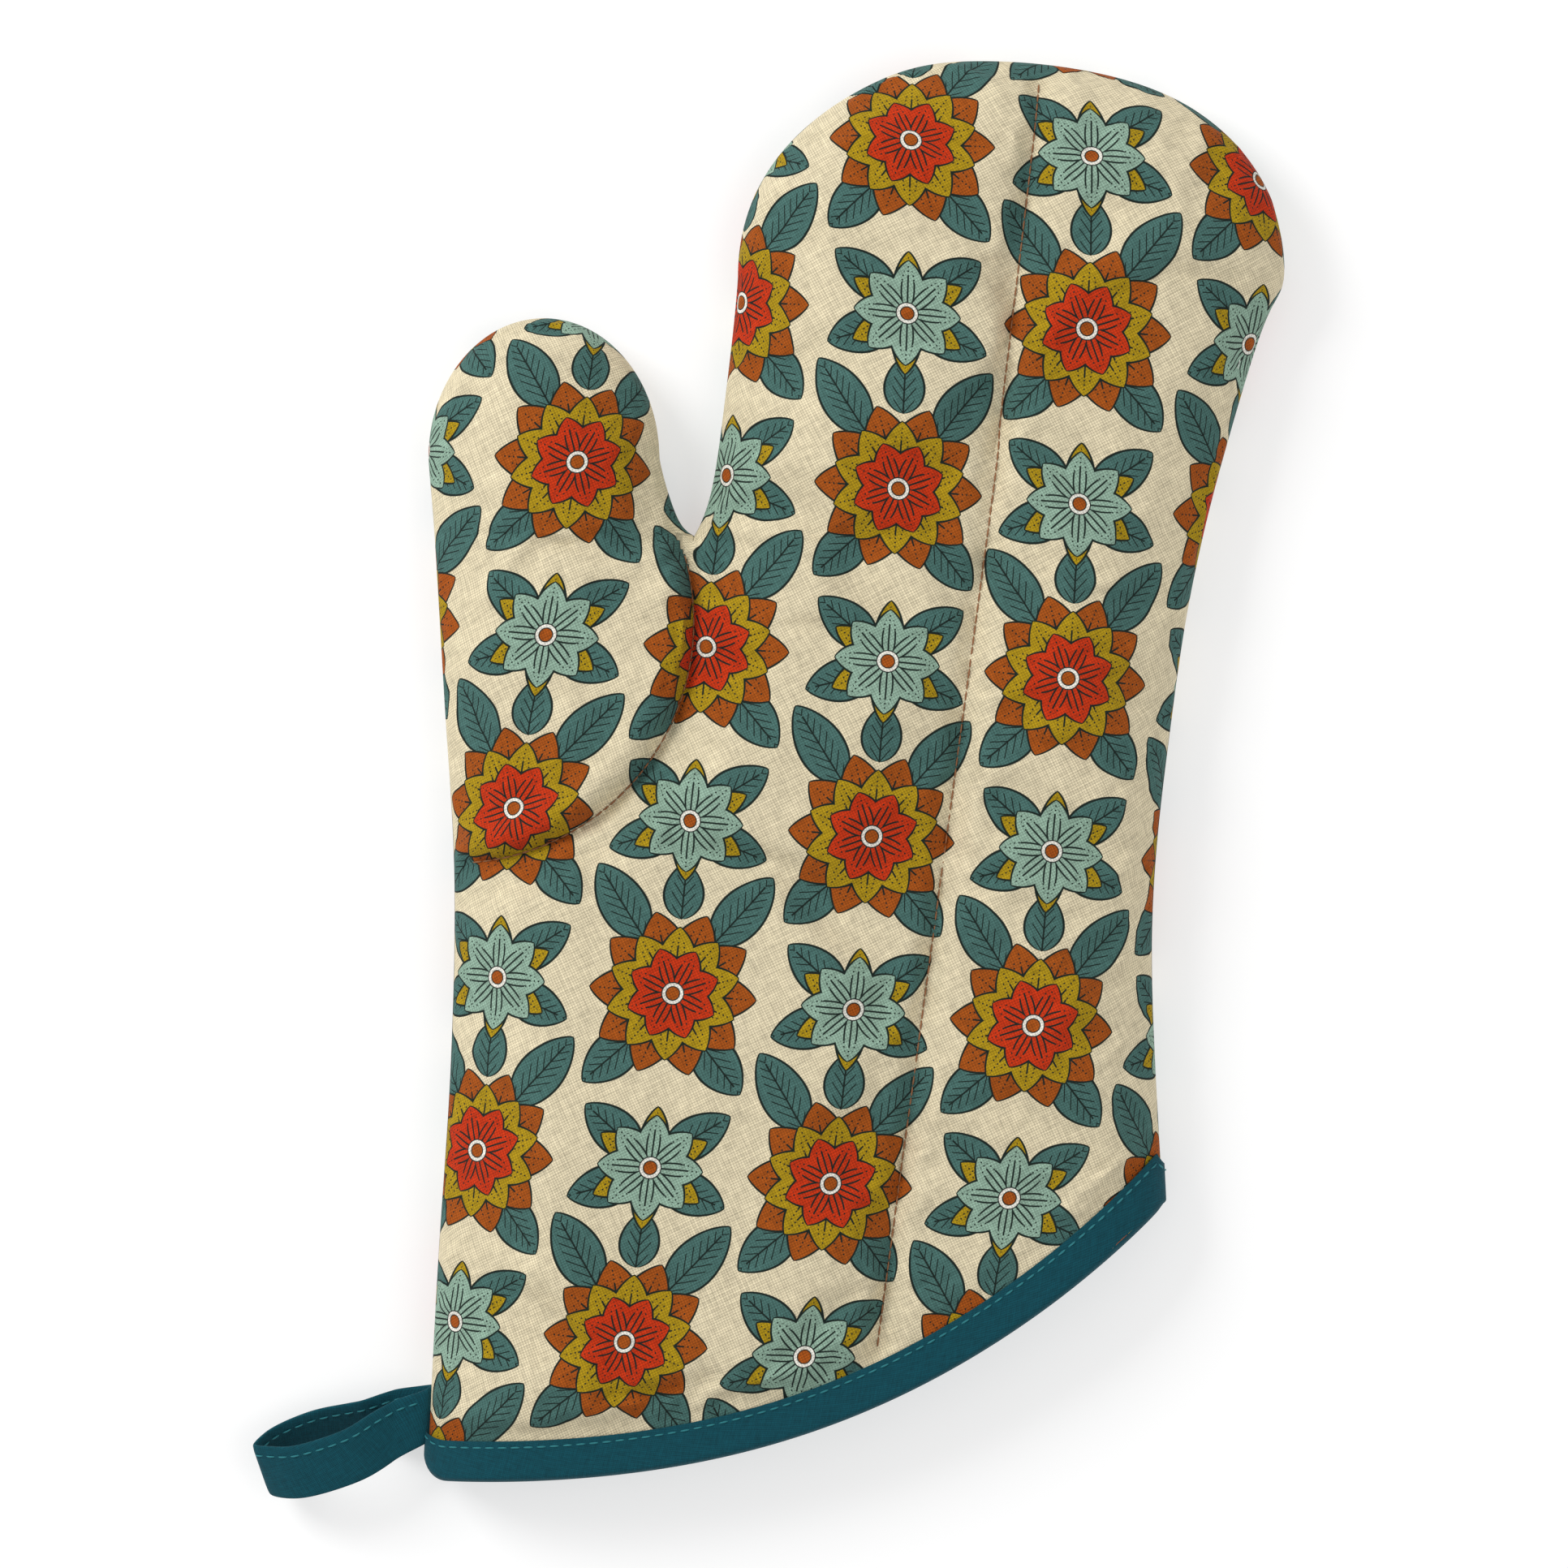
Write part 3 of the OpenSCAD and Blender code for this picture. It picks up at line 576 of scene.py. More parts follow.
def ply_piece(name, face, depth_out, depth_in, detail, size, seam_out, seam_in, move=None):
    """A closed ply: an outer skin, an inner skin and the walls between their rims. Each skin's height is
    the loft at its depth, plus the relief on the palm, and no point goes under the table."""
    points, uv = [], None
    for depth, inset in ((depth_out, seam_out), (depth_in, seam_in)):
        line = moved_in(inset)
        p, numbers = joined(areas(line, detail))
        d, foot = nearest(p, line)
        z = loft(p, face, depth, d)
        if face == PALM:
            spare, clear = (0, 0) if depth == 0 else (UNDER_SPARE, 0.25 if depth < 0.55 else 0.7)
            z = z + relief(p, d, size, spare) - clear
        else:
            z = np.maximum(z, depth * 0.9)
        if uv is None:
            uv = cloth_uv(p, face, d, foot, thumb_side_of_tuck(p, numbers))
        skin = np.column_stack([p, z])
        points.append(skin if move is None else skin + move)
    n = len(points[0])
    grid = np.concatenate([quads(i) for i in numbers])
    edge = rim(numbers)
    walls = np.stack([edge, np.roll(edge, -1), np.roll(edge, -1) + n, edge + n], 1)
    faces = np.concatenate([grid, grid[:, ::-1] + n, walls])
    if face == BACK:
        faces = faces[:, ::-1]
    return new_piece(name, pulled_up(np.concatenate(points)), faces, np.concatenate([uv, uv]), sharp=50)


# ---- Shader nodes ----

class Tree:
    """A node tree with short ways to add its nodes. Values are sockets, numbers or tuples."""

    def __init__(self, tree):
        self.tree = tree

    def node(self, kind, **facts):
        n = self.tree.nodes.new(kind)
        for key, value in facts.items():
            setattr(n, key, value)
        return n

    def put(self, socket, value):
        if isinstance(value, bpy.types.NodeSocket):
            self.tree.links.new(value, socket)
        elif value is not None:
            socket.default_value = value

    def math(self, operation, *values, clamp=False):
        n = self.node("ShaderNodeMath", operation=operation, use_clamp=clamp)
        for socket, value in zip(n.inputs, values):
            self.put(socket, value)
        return n.outputs[0]

    def mul(self, a, b):
        return self.math("MULTIPLY", a, b)

    def add(self, a, b):
        return self.math("ADD", a, b)

    def sub(self, a, b):
        return self.math("SUBTRACT", a, b)

    def div(self, a, b):
        return self.math("DIVIDE", a, b)

    def absolute(self, a):
        return self.math("ABSOLUTE", a)

    def below(self, a, limit):
        return self.math("LESS_THAN", a, limit)

    def vector(self, operation, *values):
        n = self.node("ShaderNodeVectorMath", operation=operation)
        for socket, value in zip(n.inputs, values):
            self.put(socket, value)
        return n.outputs["Value"] if operation in ("DOT_PRODUCT", "LENGTH") else n.outputs["Vector"]

    def xyz(self, x, y, z=0.0):
        n = self.node("ShaderNodeCombineXYZ")
        for socket, value in zip(n.inputs, (x, y, z)):
            self.put(socket, value)
        return n.outputs[0]

    def parts(self, vector):
        n = self.node("ShaderNodeSeparateXYZ")
        self.put(n.inputs[0], vector)
        return n.outputs[0], n.outputs[1]

    def blend(self, factor, a, b, how="MIX"):
        n = self.node("ShaderNodeMix", data_type="RGBA", blend_type=how)
        self.put(n.inputs["Factor"], factor)
        self.put(n.inputs[6], a)
        self.put(n.inputs[7], b)
        return n.outputs[2]

    def tinted(self, colour, shade):
        """A colour darkened by a shade, the same in red, green and blue."""
        grey = self.node("ShaderNodeCombineColor")
        for socket in grey.inputs:
            self.put(socket, shade)
        return self.blend(1.0, colour, grey.outputs[0], "MULTIPLY")

    def bumped(self, height, depth):
        """A normal from a height between 0 and 1 that stands for depth metres."""
        bump = self.node("ShaderNodeBump")
        self.put(bump.inputs["Distance"], depth)
        self.put(bump.inputs["Height"], height)
        return bump.outputs[0]

    def group(self, name, **values):
        n = self.node("ShaderNodeGroup", node_tree=bpy.data.node_groups[name])
        for key, value in values.items():
            self.put(n.inputs[key.replace("_", " ")], value)
        return n


def new_group(name, inputs, outputs):
    """A shader node group with named sockets, as its Tree, its input sockets by name and its output node."""
    tree = bpy.data.node_groups.new(name, "ShaderNodeTree")
    kinds = {"v": "NodeSocketVector", "f": "NodeSocketFloat", "c": "NodeSocketColor"}
    for key, kind in inputs:
        tree.interface.new_socket(name=key, in_out="INPUT", socket_type=kinds[kind])
    for key, kind in outputs:
        tree.interface.new_socket(name=key, in_out="OUTPUT", socket_type=kinds[kind])
    t = Tree(tree)
    given = t.node("NodeGroupInput")
    return t, {key: given.outputs[key] for key, _ in inputs}, t.node("NodeGroupOutput")


def step_down(t, value, edge, blur):
    """1 where value is below edge, 0 above, over a width of blur."""
    return t.math("MULTIPLY_ADD", t.sub(edge, value), 1 / blur, 0.5, clamp=True)


OUTLINE_INK, VEIN_INK, RING_INK, BLUR = 0.54, 0.40, 0.26, 0.12
LONG_STEP, DOT_STEP, DOT_R, SIDE_STEP, SIDE_SLANT = 0.19, 0.5, 0.2, 1.25, 1.3
RING_R, HEART_R = 2.5, 1.55


def make_petal_group():
    """Petal: a pointed oval from Root to Tip painted over Below. Half its width at share t of its length
    is 2.6 t^0.6 (1 - t)^0.8 of half of Width. Long veins follow the oval at equal steps across it and end
    in dots, side veins slant back from the middle one, and both are drawn in ink with the outline."""
    t, g, out = new_group("Petal", [("Below", "c"), ("Point", "v"), ("Root", "v"), ("Tip", "v"),
                                    ("Width", "f"), ("Fill", "c"), ("Ink", "c"), ("Long Veins", "f"),
                                    ("Side Veins", "f")], [("Color", "c")])
    line = t.vector("SUBTRACT", g["Tip"], g["Root"])
    r = t.vector("SUBTRACT", g["Point"], g["Root"])
    length = t.vector("LENGTH", line)
    way = t.vector("NORMALIZE", line)
    s_along = t.vector("DOT_PRODUCT", r, way)
    wx, wy = t.parts(way)
    side = t.vector("DOT_PRODUCT", r, t.xyz(wy, t.mul(wx, -1)))
    share = t.div(s_along, length)
    held = t.math("MINIMUM", t.math("MAXIMUM", share, 0.0), 1.0)
    oval = t.mul(t.math("POWER", held, 0.6), t.math("POWER", t.sub(1.0, held), 0.8))
    half = t.mul(oval, t.mul(g["Width"], 1.3))
    off = t.absolute(side)
    past = t.mul(t.absolute(t.sub(share, held)), length)
    inside = t.sub(t.sub(half, off), t.mul(past, 2.0))
    fill = t.math("MULTIPLY_ADD", inside, 1 / BLUR, 0.5, clamp=True)
    edge = step_down(t, t.absolute(inside), OUTLINE_INK / 2, BLUR)
    shares = t.div(side, t.math("MAXIMUM", half, 0.05))
    wide = t.absolute(shares)
    long_off = t.mul(t.math("PINGPONG", shares, LONG_STEP), half)
    reach = t.sub(g["Long Veins"], t.mul(wide, 0.34))
    veined = t.mul(t.below(share, reach), t.below(wide, 0.9))
    long_vein = t.mul(step_down(t, long_off, VEIN_INK / 2, BLUR), veined)
    to_dot = t.vector("LENGTH", t.xyz(long_off, t.math("PINGPONG", s_along, DOT_STEP)))
    dotted = t.mul(t.below(share, t.add(reach, 0.2)), t.below(wide, 0.5))
    dots = t.mul(step_down(t, to_dot, DOT_R, BLUR), dotted)
    long_vein = t.math("MAXIMUM", long_vein, t.mul(dots, t.math("GREATER_THAN", g["Long Veins"], 0.1)))
    slant = t.math("PINGPONG", t.sub(s_along, t.mul(off, SIDE_SLANT)), SIDE_STEP)
    side_vein = t.mul(step_down(t, slant, VEIN_INK / 2, BLUR), t.below(wide, t.mul(g["Side Veins"], 0.6)))
    mid_vein = t.mul(step_down(t, off, VEIN_INK / 2, BLUR), t.below(share, 0.86))
    side_vein = t.mul(t.math("MAXIMUM", side_vein, mid_vein), g["Side Veins"])
    drawn = t.mul(t.math("MAXIMUM", long_vein, side_vein), t.math("GREATER_THAN", inside, 0.0))
    painted = t.blend(fill, g["Below"], g["Fill"])
    t.put(out.inputs["Color"], t.blend(t.math("MAXIMUM", edge, drawn), painted, g["Ink"]))


def make_flower_group():
    """Small Flower: the petal's oval repeated round Centre, Count times, painted over Below, then a pale
    ring and a round heart. Where Heart is 0 only the ring of petals is painted."""
    t, g, out = new_group("Small Flower", [("Below", "c"), ("Point", "v"), ("Centre", "v"), ("Count", "f"),
                                           ("Turn", "f"), ("Reach", "f"), ("Width", "f"), ("Fill", "c"),
                                           ("Ink", "c"), ("Ring", "c"), ("Heart Fill", "c"),
                                           ("Heart", "f")], [("Color", "c")])
    r = t.vector("SUBTRACT", g["Point"], g["Centre"])
    rx, ry = t.parts(r)
    far = t.vector("LENGTH", r)
    angle = t.add(t.math("ARCTAN2", ry, rx), g["Turn"])
    each = t.div(2 * math.pi, g["Count"])
    local = t.math("WRAP", angle, t.mul(each, 0.5), t.mul(each, -0.5))
    side = t.mul(far, t.math("SINE", local))
    s_along = t.mul(far, t.math("COSINE", local))
    near = t.group("Petal", Below=g["Below"], Point=t.xyz(s_along, side), Root=(0.6, 0, 0),
                   Tip=t.xyz(g["Reach"], 0.0), Width=g["Width"], Fill=g["Fill"], Ink=g["Ink"],
                   Long_Veins=0.72, Side_Veins=0.0).outputs[0]
    ring = t.mul(step_down(t, far, RING_R, BLUR), g["Heart"])
    heart = t.mul(step_down(t, far, HEART_R, BLUR), g["Heart"])
    lines = t.math("MINIMUM", t.absolute(t.sub(far, RING_R)), t.absolute(t.sub(far, HEART_R)))
    inked = t.mul(step_down(t, lines, RING_INK / 2, BLUR), g["Heart"])
    c = t.blend(ring, near, g["Ring"])
    c = t.blend(heart, c, g["Heart Fill"])
    t.put(out.inputs["Color"], t.blend(inked, c, g["Ink"]))


WEAVE_SLANT, WEAVE_TURN, WEAVE_DARK, SLUB_DARK = 0.6, 2.7, 0.60, 0.42


def make_weave_group():
    """Plain Weave: threads of width Pitch along both directions of Vector, each rounded as a sine, the
    two directions taking turns on top by the sign of the product of their sines, and both slant by 0.6.
    Shade is painted light on the threads' tops and painted shade between them, and it darkens along
    the thinner threads, which a noise stretched eight times along each direction picks out."""
    t, g, out = new_group("Plain Weave", [("Vector", "v"), ("Pitch", "f")], [("Height", "f"), ("Shade", "f")])
    x, y = t.parts(g["Vector"])
    x, y = t.add(x, t.mul(y, WEAVE_SLANT)), t.sub(y, t.mul(x, WEAVE_SLANT))
    turn = t.div(WEAVE_TURN, g["Pitch"])
    sx = t.math("SINE", t.mul(x, turn))
    sy = t.math("SINE", t.mul(y, turn))
    top = t.math("GREATER_THAN", t.mul(sx, sy), 0.0)
    ax, ay = t.absolute(sx), t.absolute(sy)
    warp = t.math("MULTIPLY_ADD", ax, 0.75, t.mul(ay, 0.25))
    weft = t.math("MULTIPLY_ADD", ay, 0.75, t.mul(ax, 0.25))
    high = t.add(t.mul(top, warp), t.mul(t.sub(1.0, top), weft))
    t.put(out.inputs["Height"], high)
    thick = []
    for along, across in ((x, y), (y, x)):
        noise = t.node("ShaderNodeTexNoise", noise_dimensions="2D")
        t.put(noise.inputs["Vector"], t.xyz(t.mul(along, 0.12), across))
        t.put(noise.inputs["Scale"], t.div(0.75, g["Pitch"]))
        t.put(noise.inputs["Detail"], 1.0)
        thick.append(noise.outputs["Fac"])
    slub = t.sub(t.add(*thick), 1.0)
    # Shade: painted light on the threads' tops and painted shade between them, times the slub's darker tone.
    shade = t.math("MULTIPLY_ADD", high, WEAVE_DARK, 0.64)
    t.put(out.inputs["Shade"], t.mul(shade, t.math("MULTIPLY_ADD", slub, SLUB_DARK, 1.0)))


# Each leaf's root, tip and width; each ring of petals' height, count, turn, reach, width, colour and heart
LEAVES = (((8, 12), (20, 28), 10.5), ((7, -10), (18, -21.5), 10), ((0, 17), (0, 30), 9),
          ((3, 43), (16.5, 53), 9.5), ((3, 37), (18, 32), 9.5))
RINGS = ((0, 10, 0.0, 19, 11, "rust", 0), (0, 10, 0.314, 15.2, 9, "mustard", 0),
         (0, 8, 0.393, 10.6, 7.4, "red", 1), (39.8, 6, 0.524, 14, 6.5, "mustard", 0),
         (39.8, 8, 0.0, 12, 7.6, "mint", 1))


def make_print_group(colour, size):
    """Rosettes: a half drop of round rosettes, star daisies and loose leaves on cream. Across is folded
    about each column's middle, and the neighbouring column is the same drawing half a repeat lower, so
    what crosses between two columns is painted once for each."""
    t, g, out = new_group("Rosettes", [("Vector", "v")], [("Color", "c")])
    col, rep = size.print_column / MM, size.print_repeat / MM
    ink = (*colour.ink, 1)
    names = ("cream", "teal", "mint", "rust", "red", "mustard", "white")
    fills = {key: (*getattr(colour, key), 1) for key in names}
    x, y = t.parts(g["Vector"])
    number = t.math("ROUND", t.div(x, col))
    odd = t.math("PINGPONG", number, 1.0)
    px = t.absolute(t.sub(x, t.mul(number, col)))
    y = t.math("MULTIPLY_ADD", odd, -rep / 2, y)
    low = -0.30 * rep
    here = t.xyz(px, t.math("WRAP", y, low + rep, low))
    next_one = t.xyz(t.sub(col, px), t.math("WRAP", t.add(y, rep / 2), low + rep, low))
    c = fills["cream"]
    for where in (next_one, here):
        for root, tip, width in LEAVES:
            c = t.group("Petal", Below=c, Point=where, Root=(*root, 0), Tip=(*tip, 0), Width=width,
                        Fill=fills["teal"], Ink=ink, Long_Veins=0.0, Side_Veins=1.0).outputs[0]
    for where in (next_one, here):
        for centre, count, turn, reach, width, fill, heart in RINGS:
            c = t.group("Small Flower", Below=c, Point=where, Centre=(0, centre, 0), Count=float(count),
                        Turn=turn, Reach=reach, Width=width, Fill=fills[fill], Ink=ink,
                        Ring=fills["white"], Heart_Fill=fills["rust"], Heart=float(heart)).outputs[0]
    t.put(out.inputs["Color"], c)


def new_material(name):
    """A material with its tree and its shader."""
    material = bpy.data.materials.new(name)
    material.use_nodes = True
    t = Tree(material.node_tree)
    shader = material.node_tree.nodes["Principled BSDF"]
    return material, t, shader


def cloth_vector(t):
    """The cloth's own coordinates in millimetres, from its map."""
    return t.vector("MULTIPLY", t.node("ShaderNodeUVMap", uv_map="cloth").outputs[0], (1000, 1000, 1000))


def make_cotton(name, colour, pitch, roughness=0.9, sheen=0.03, depth=0.00009, mottle=0.06, printed=False):
    """A woven cotton: its colour or the print, with the weave's painted light on the threads and painted
    shade between them, mottled softly, with the weave as a fine bump."""
    material, t, shader = new_material(name)
    place = cloth_vector(t)
    weave = t.group("Plain Weave", Vector=place, Pitch=pitch)
    noise = t.node("ShaderNodeTexNoise")
    t.put(noise.inputs["Vector"], place)
    t.put(noise.inputs["Scale"], 1.1)
    t.put(noise.inputs["Detail"], 3.0)
    uneven = t.math("MULTIPLY_ADD", noise.outputs["Fac"], mottle * 2, 1 - mottle)
    # The weave's painted light on the threads and painted shade between them, times the cotton's uneven tone.
    shade = t.mul(weave.outputs["Shade"], uneven)
    base = t.group("Rosettes", Vector=place).outputs[0] if printed else (*colour, 1)
    t.put(shader.inputs["Base Color"], t.tinted(base, shade))
    t.put(shader.inputs["Normal"], t.bumped(weave.outputs["Height"], depth))
    shader.inputs["Roughness"].default_value = roughness
    shader.inputs["Sheen Weight"].default_value = sheen
    shader.inputs["Sheen Roughness"].default_value = 0.5
    shader.inputs["Specular IOR Level"].default_value = 0.15
    return material


STRAND_DEPTH = 0.00006


def make_thread(name, colour):
    """Twisted thread: slanting strands across its own map, the size of a sine of across plus 0.8 of
    round, as a bump and as painted light on the strands and painted shade between them."""
    material, t, shader = new_material(name)
    x, y = t.parts(cloth_vector(t))
    strand = t.absolute(t.math("SINE", t.mul(t.add(x, t.mul(y, 0.8)), 9.0)))
    # Painted light on the strands' crowns and painted shade between them.
    shade = t.math("MULTIPLY_ADD", strand, 0.45, 0.70)
    t.put(shader.inputs["Base Color"], t.tinted((*colour, 1), shade))
    t.put(shader.inputs["Normal"], t.bumped(strand, STRAND_DEPTH))
    shader.inputs["Roughness"].default_value = 0.6
    return material


def finishes():
    """The materials, made once and then found by name."""
    colour, size = bpy.context.scene.mitt_colours, bpy.context.scene.mitt_sizes
    if "Printed cotton" not in bpy.data.materials:
        make_petal_group(), make_flower_group(), make_weave_group()
        make_print_group(colour, size)
        pitch = size.thread_pitch / MM
        make_cotton("Printed cotton", colour.cream, pitch, printed=True)
        make_cotton("Lining cotton", colour.lining, pitch * 1.1)
        make_cotton("Wadding", colour.wadding, 1.3, depth=0.0003, mottle=0.12)
        make_cotton("Binding cotton", colour.tape, 0.42, roughness=0.8, sheen=0.04, depth=0.00005,
                    mottle=0.12)
        make_thread("Tape thread", colour.tape_thread)
        make_thread("Seam thread", colour.seam_thread)
    return bpy.data.materials


# ---- Bands and stitches ----

def band(name, rings, uv_rings, sharp=60):
    """A closed tube from a grid of rings by points, both directions running round to where they began."""
    n, m = rings.shape[:2]
    i = np.arange(n * m).reshape(n, m)
    a, b = i, np.roll(i, -1, 0)
    faces = np.stack([a, np.roll(a, -1, 1), np.roll(b, -1, 1), b], -1).reshape(-1, 4)
    return new_piece(name, rings.reshape(-1, 3), faces, uv_rings.reshape(-1, 2), sharp)


def on_bias(run, across):
    """Cloth coordinates of a band cut on the bias: along and across it, turned by 45 degrees."""
    uv = np.stack(np.broadcast_arrays(run[:, None], across[None]), -1)
    return np.stack([uv[..., 0] + uv[..., 1], uv[..., 1] - uv[..., 0]], -1) / math.sqrt(2)


def check_fit(obj, lo, hi, slack):
    """Stops if a piece's box is more than slack off its CAD node's in plan."""
    corners = np.array([v[:] for v in obj.bound_box]) / MM
    if max(np.abs(corners.min(0) - lo)[:2].max(), np.abs(corners.max(0) - hi)[:2].max()) > slack:
        raise RuntimeError(f"{obj.name} doesn't fit its CAD node: {corners.min(0)} {corners.max(0)} "
                           f"against {lo} {hi}")


def outward(obj):
    """Turns an object's faces outwards if its volume comes out negative."""
    mesh = obj.data
    mesh.calc_loop_triangles()
    p = np.empty(len(mesh.vertices) * 3)
    mesh.vertices.foreach_get("co", p)
    p = p.reshape(-1, 3)
    i = np.empty(len(mesh.loop_triangles) * 3, np.int32)
    mesh.loop_triangles.foreach_get("vertices", i)
    a, b, c = p[i.reshape(-1, 3)].transpose(1, 0, 2)
    if (a * np.cross(b, c)).sum() < 0:
        mesh.flip_normals()
    return obj


def stitches(name, rows, pitch, length, width, height):
    """Rows of separate stitches, each row a path and its upright directions. Each stitch is a round
    thread, thick in its middle and tapered to both ends, that rises out of the cloth and sinks back by a
    parabola."""
    s = np.linspace(0, 1, 7)
    turn = np.linspace(0, 2 * np.pi, 7)[:-1]
    thick = (np.maximum(4 * s * (1 - s), 0.02) ** 0.35)[:, None, None] * width / 2
    sink = (4 * s * (1 - s) * height - 0.3 * height)[:, None]
    rings, runs = [], []
    for path, up_way in rows:
        start = np.arange(pitch * 0.3, run_of(path)[-1] - pitch * 0.8, pitch)
        where = start[:, None] + s * length
        p = at_lengths(path, where)
        n = unit(at_lengths(np.column_stack([path, up_way]), where)[..., 3:])
        side = unit(np.cross(unit(np.gradient(p, axis=1)), n))
        rings.append((p + sink * n)[:, :, None] + side[:, :, None] * np.cos(turn)[:, None] * thick
                     + n[:, :, None] * np.sin(turn)[:, None] * thick / 1.3)
        runs.append(where)
    ring, where = np.concatenate(rings), np.concatenate(runs)
    k, a, b = ring.shape[:3]
    i = np.arange(k * a * b).reshape(k, a, b)
    j = np.roll(i, -1, 2)
    faces = np.stack([i[:, :-1], j[:, :-1], j[:, 1:], i[:, 1:]], -1).reshape(-1, 4)
    caps = np.concatenate([i[:, 0, ::-1], i[:, -1]])
    uv = np.stack(np.broadcast_arrays(where[:, :, None], turn * width / 2), -1).reshape(-1, 2)
    return outward(new_piece(name, ring.reshape(-1, 3), faces.tolist() + caps.tolist(), uv, sharp=80))


def palm_height(xy, size):
    """Height of the palm's surface over points of the table."""
    d, _ = nearest(xy, OUTLINE)
    return loft(xy, PALM, 0, d) + relief(xy, d, size)


def on_cover(xy, lift):
    """Points lift above the finished palm cover, found by looking straight down onto it."""
    cover = bpy.data.objects["palm_cover"]
    hits = [cover.ray_cast((x, y, 0.1), (0, 0, -1))[1] for x, y in xy * MM]
    return np.array(hits) / MM + [0, 0, lift]


def palm_up(xy, size):
    """The palm's upright direction, from the heights a little to each side."""
    e = 0.4
    z = [palm_height(xy + np.array(step), size) for step in ((e, 0), (-e, 0), (0, e), (0, -e))]
    return unit(np.stack([(z[1] - z[0]) / (2 * e), (z[3] - z[2]) / (2 * e), np.ones(len(xy))], -1))


# ---- Binding ----

def tape_profile():
    """Points round the tape's section: how far in from the plies' edge, how deep, and how far the edge
    line is moved in. It runs over the outside, round the fold as half an ellipse, back along the inside,
    and home between them."""
    lap = BIND_W - PLY_EDGE
    out_d, in_d = -BIND_GAP - BIND_T, LINING_IN + BIND_GAP + BIND_T
    in_seam = LINING_IN - 2 + BIND_GAP
    a_run = np.linspace(1, 0, 12)
    top = np.stack([lap * a_run, np.full(12, out_d) + 0.18 * (a_run > 0.999), np.full(12, out_d)], 1)
    t = np.linspace(0, np.pi, 13)[1:-1]
    fold = np.stack([-(PLY_EDGE + 0.5) * np.sin(t), mix(out_d, in_d, (1 - np.cos(t)) / 2),
                     mix(out_d, in_seam + BIND_T, (1 - np.cos(t)) / 2)], 1)
    under = np.stack([lap * a_run[::-1], np.full(12, in_d), np.full(12, in_seam + BIND_T)], 1)
    five = np.linspace(0, 1, 5)
    back_in = np.stack([mix(lap, -BIND_GAP, five), np.full(5, LINING_IN + BIND_GAP), np.full(5, in_seam)], 1)
    back_out = np.stack([mix(-BIND_GAP, lap, five), np.full(5, -BIND_GAP), np.full(5, -BIND_GAP)], 1)
    return np.concatenate([top, fold, under, back_in, back_out])


def cuff_points(face, share, a, depth, inset):
    """Points on the cuff, for shares across and points of the section: along a line that leans with the
    two sides, at the loft's height, meeting at the side seam's height at both ends."""
    share, a, depth, inset = np.broadcast_arrays(share, a, depth, inset)
    t = unit(np.gradient(OUTLINE, axis=0))
    n = np.stack([t[:, 1], -t[:, 0]], 1)
    x_l, x_r = OUTLINE[0, 0] + inset * n[0, 0], OUTLINE[-1, 0] + inset * n[-1, 0]
    x = mix(x_l, x_r, share)
    lean_l, lean_r = t[1] / t[1, 1], -t[-2] / -t[-2, 1]
    lean = mix(lean_l[0], lean_r[0], share)
    p = np.stack([x + a * cuff_sec(x) * lean, ply_line(x) + a * cuff_sec(x)], -1)
    at = np.where((a < 0)[..., None], np.stack([x, ply_line(x)], -1), p)
    d, _ = nearest(at, OUTLINE)
    d = np.where((share <= 0) | (share >= 1), 0, np.maximum(d - inset, 0))
    d = np.minimum(d, np.minimum(x - x_l, x_r - x) * 1.02)
    return np.concatenate([p, loft(at, face, depth, d)[..., None]], -1)


def mouth_rings(profile, n):
    """The section's points at n stations under the mouth and back over it to where they began."""
    share = eased(n)
    low = cuff_points(BACK, share[:, None], *profile.T[:, None])
    high = cuff_points(PALM, share[::-1][1:-1, None], *profile.T[:, None])
    for end in (0, -1):
        low[end, :, 2] = SEAM_H
    return np.concatenate([low, high])


# ---- Hanging loop ----

STRAP_W, STRAP_T, LOOP_LEN, LOOP_LOW = 12.7, 1.2, 35.0, 2.1
LOOP_HIGH = LOOP_LOW + STRAP_T + 11
LOOP_ROOT = np.array([CUFF_L - BIND_GAP - BIND_T - 0.3 - STRAP_T / 2 - 0.9, Y_CUFF + 14.5, SEAM_H])
LOOP_TIP = LOOP_ROOT + [-LOOP_LEN, -12.5, 0]


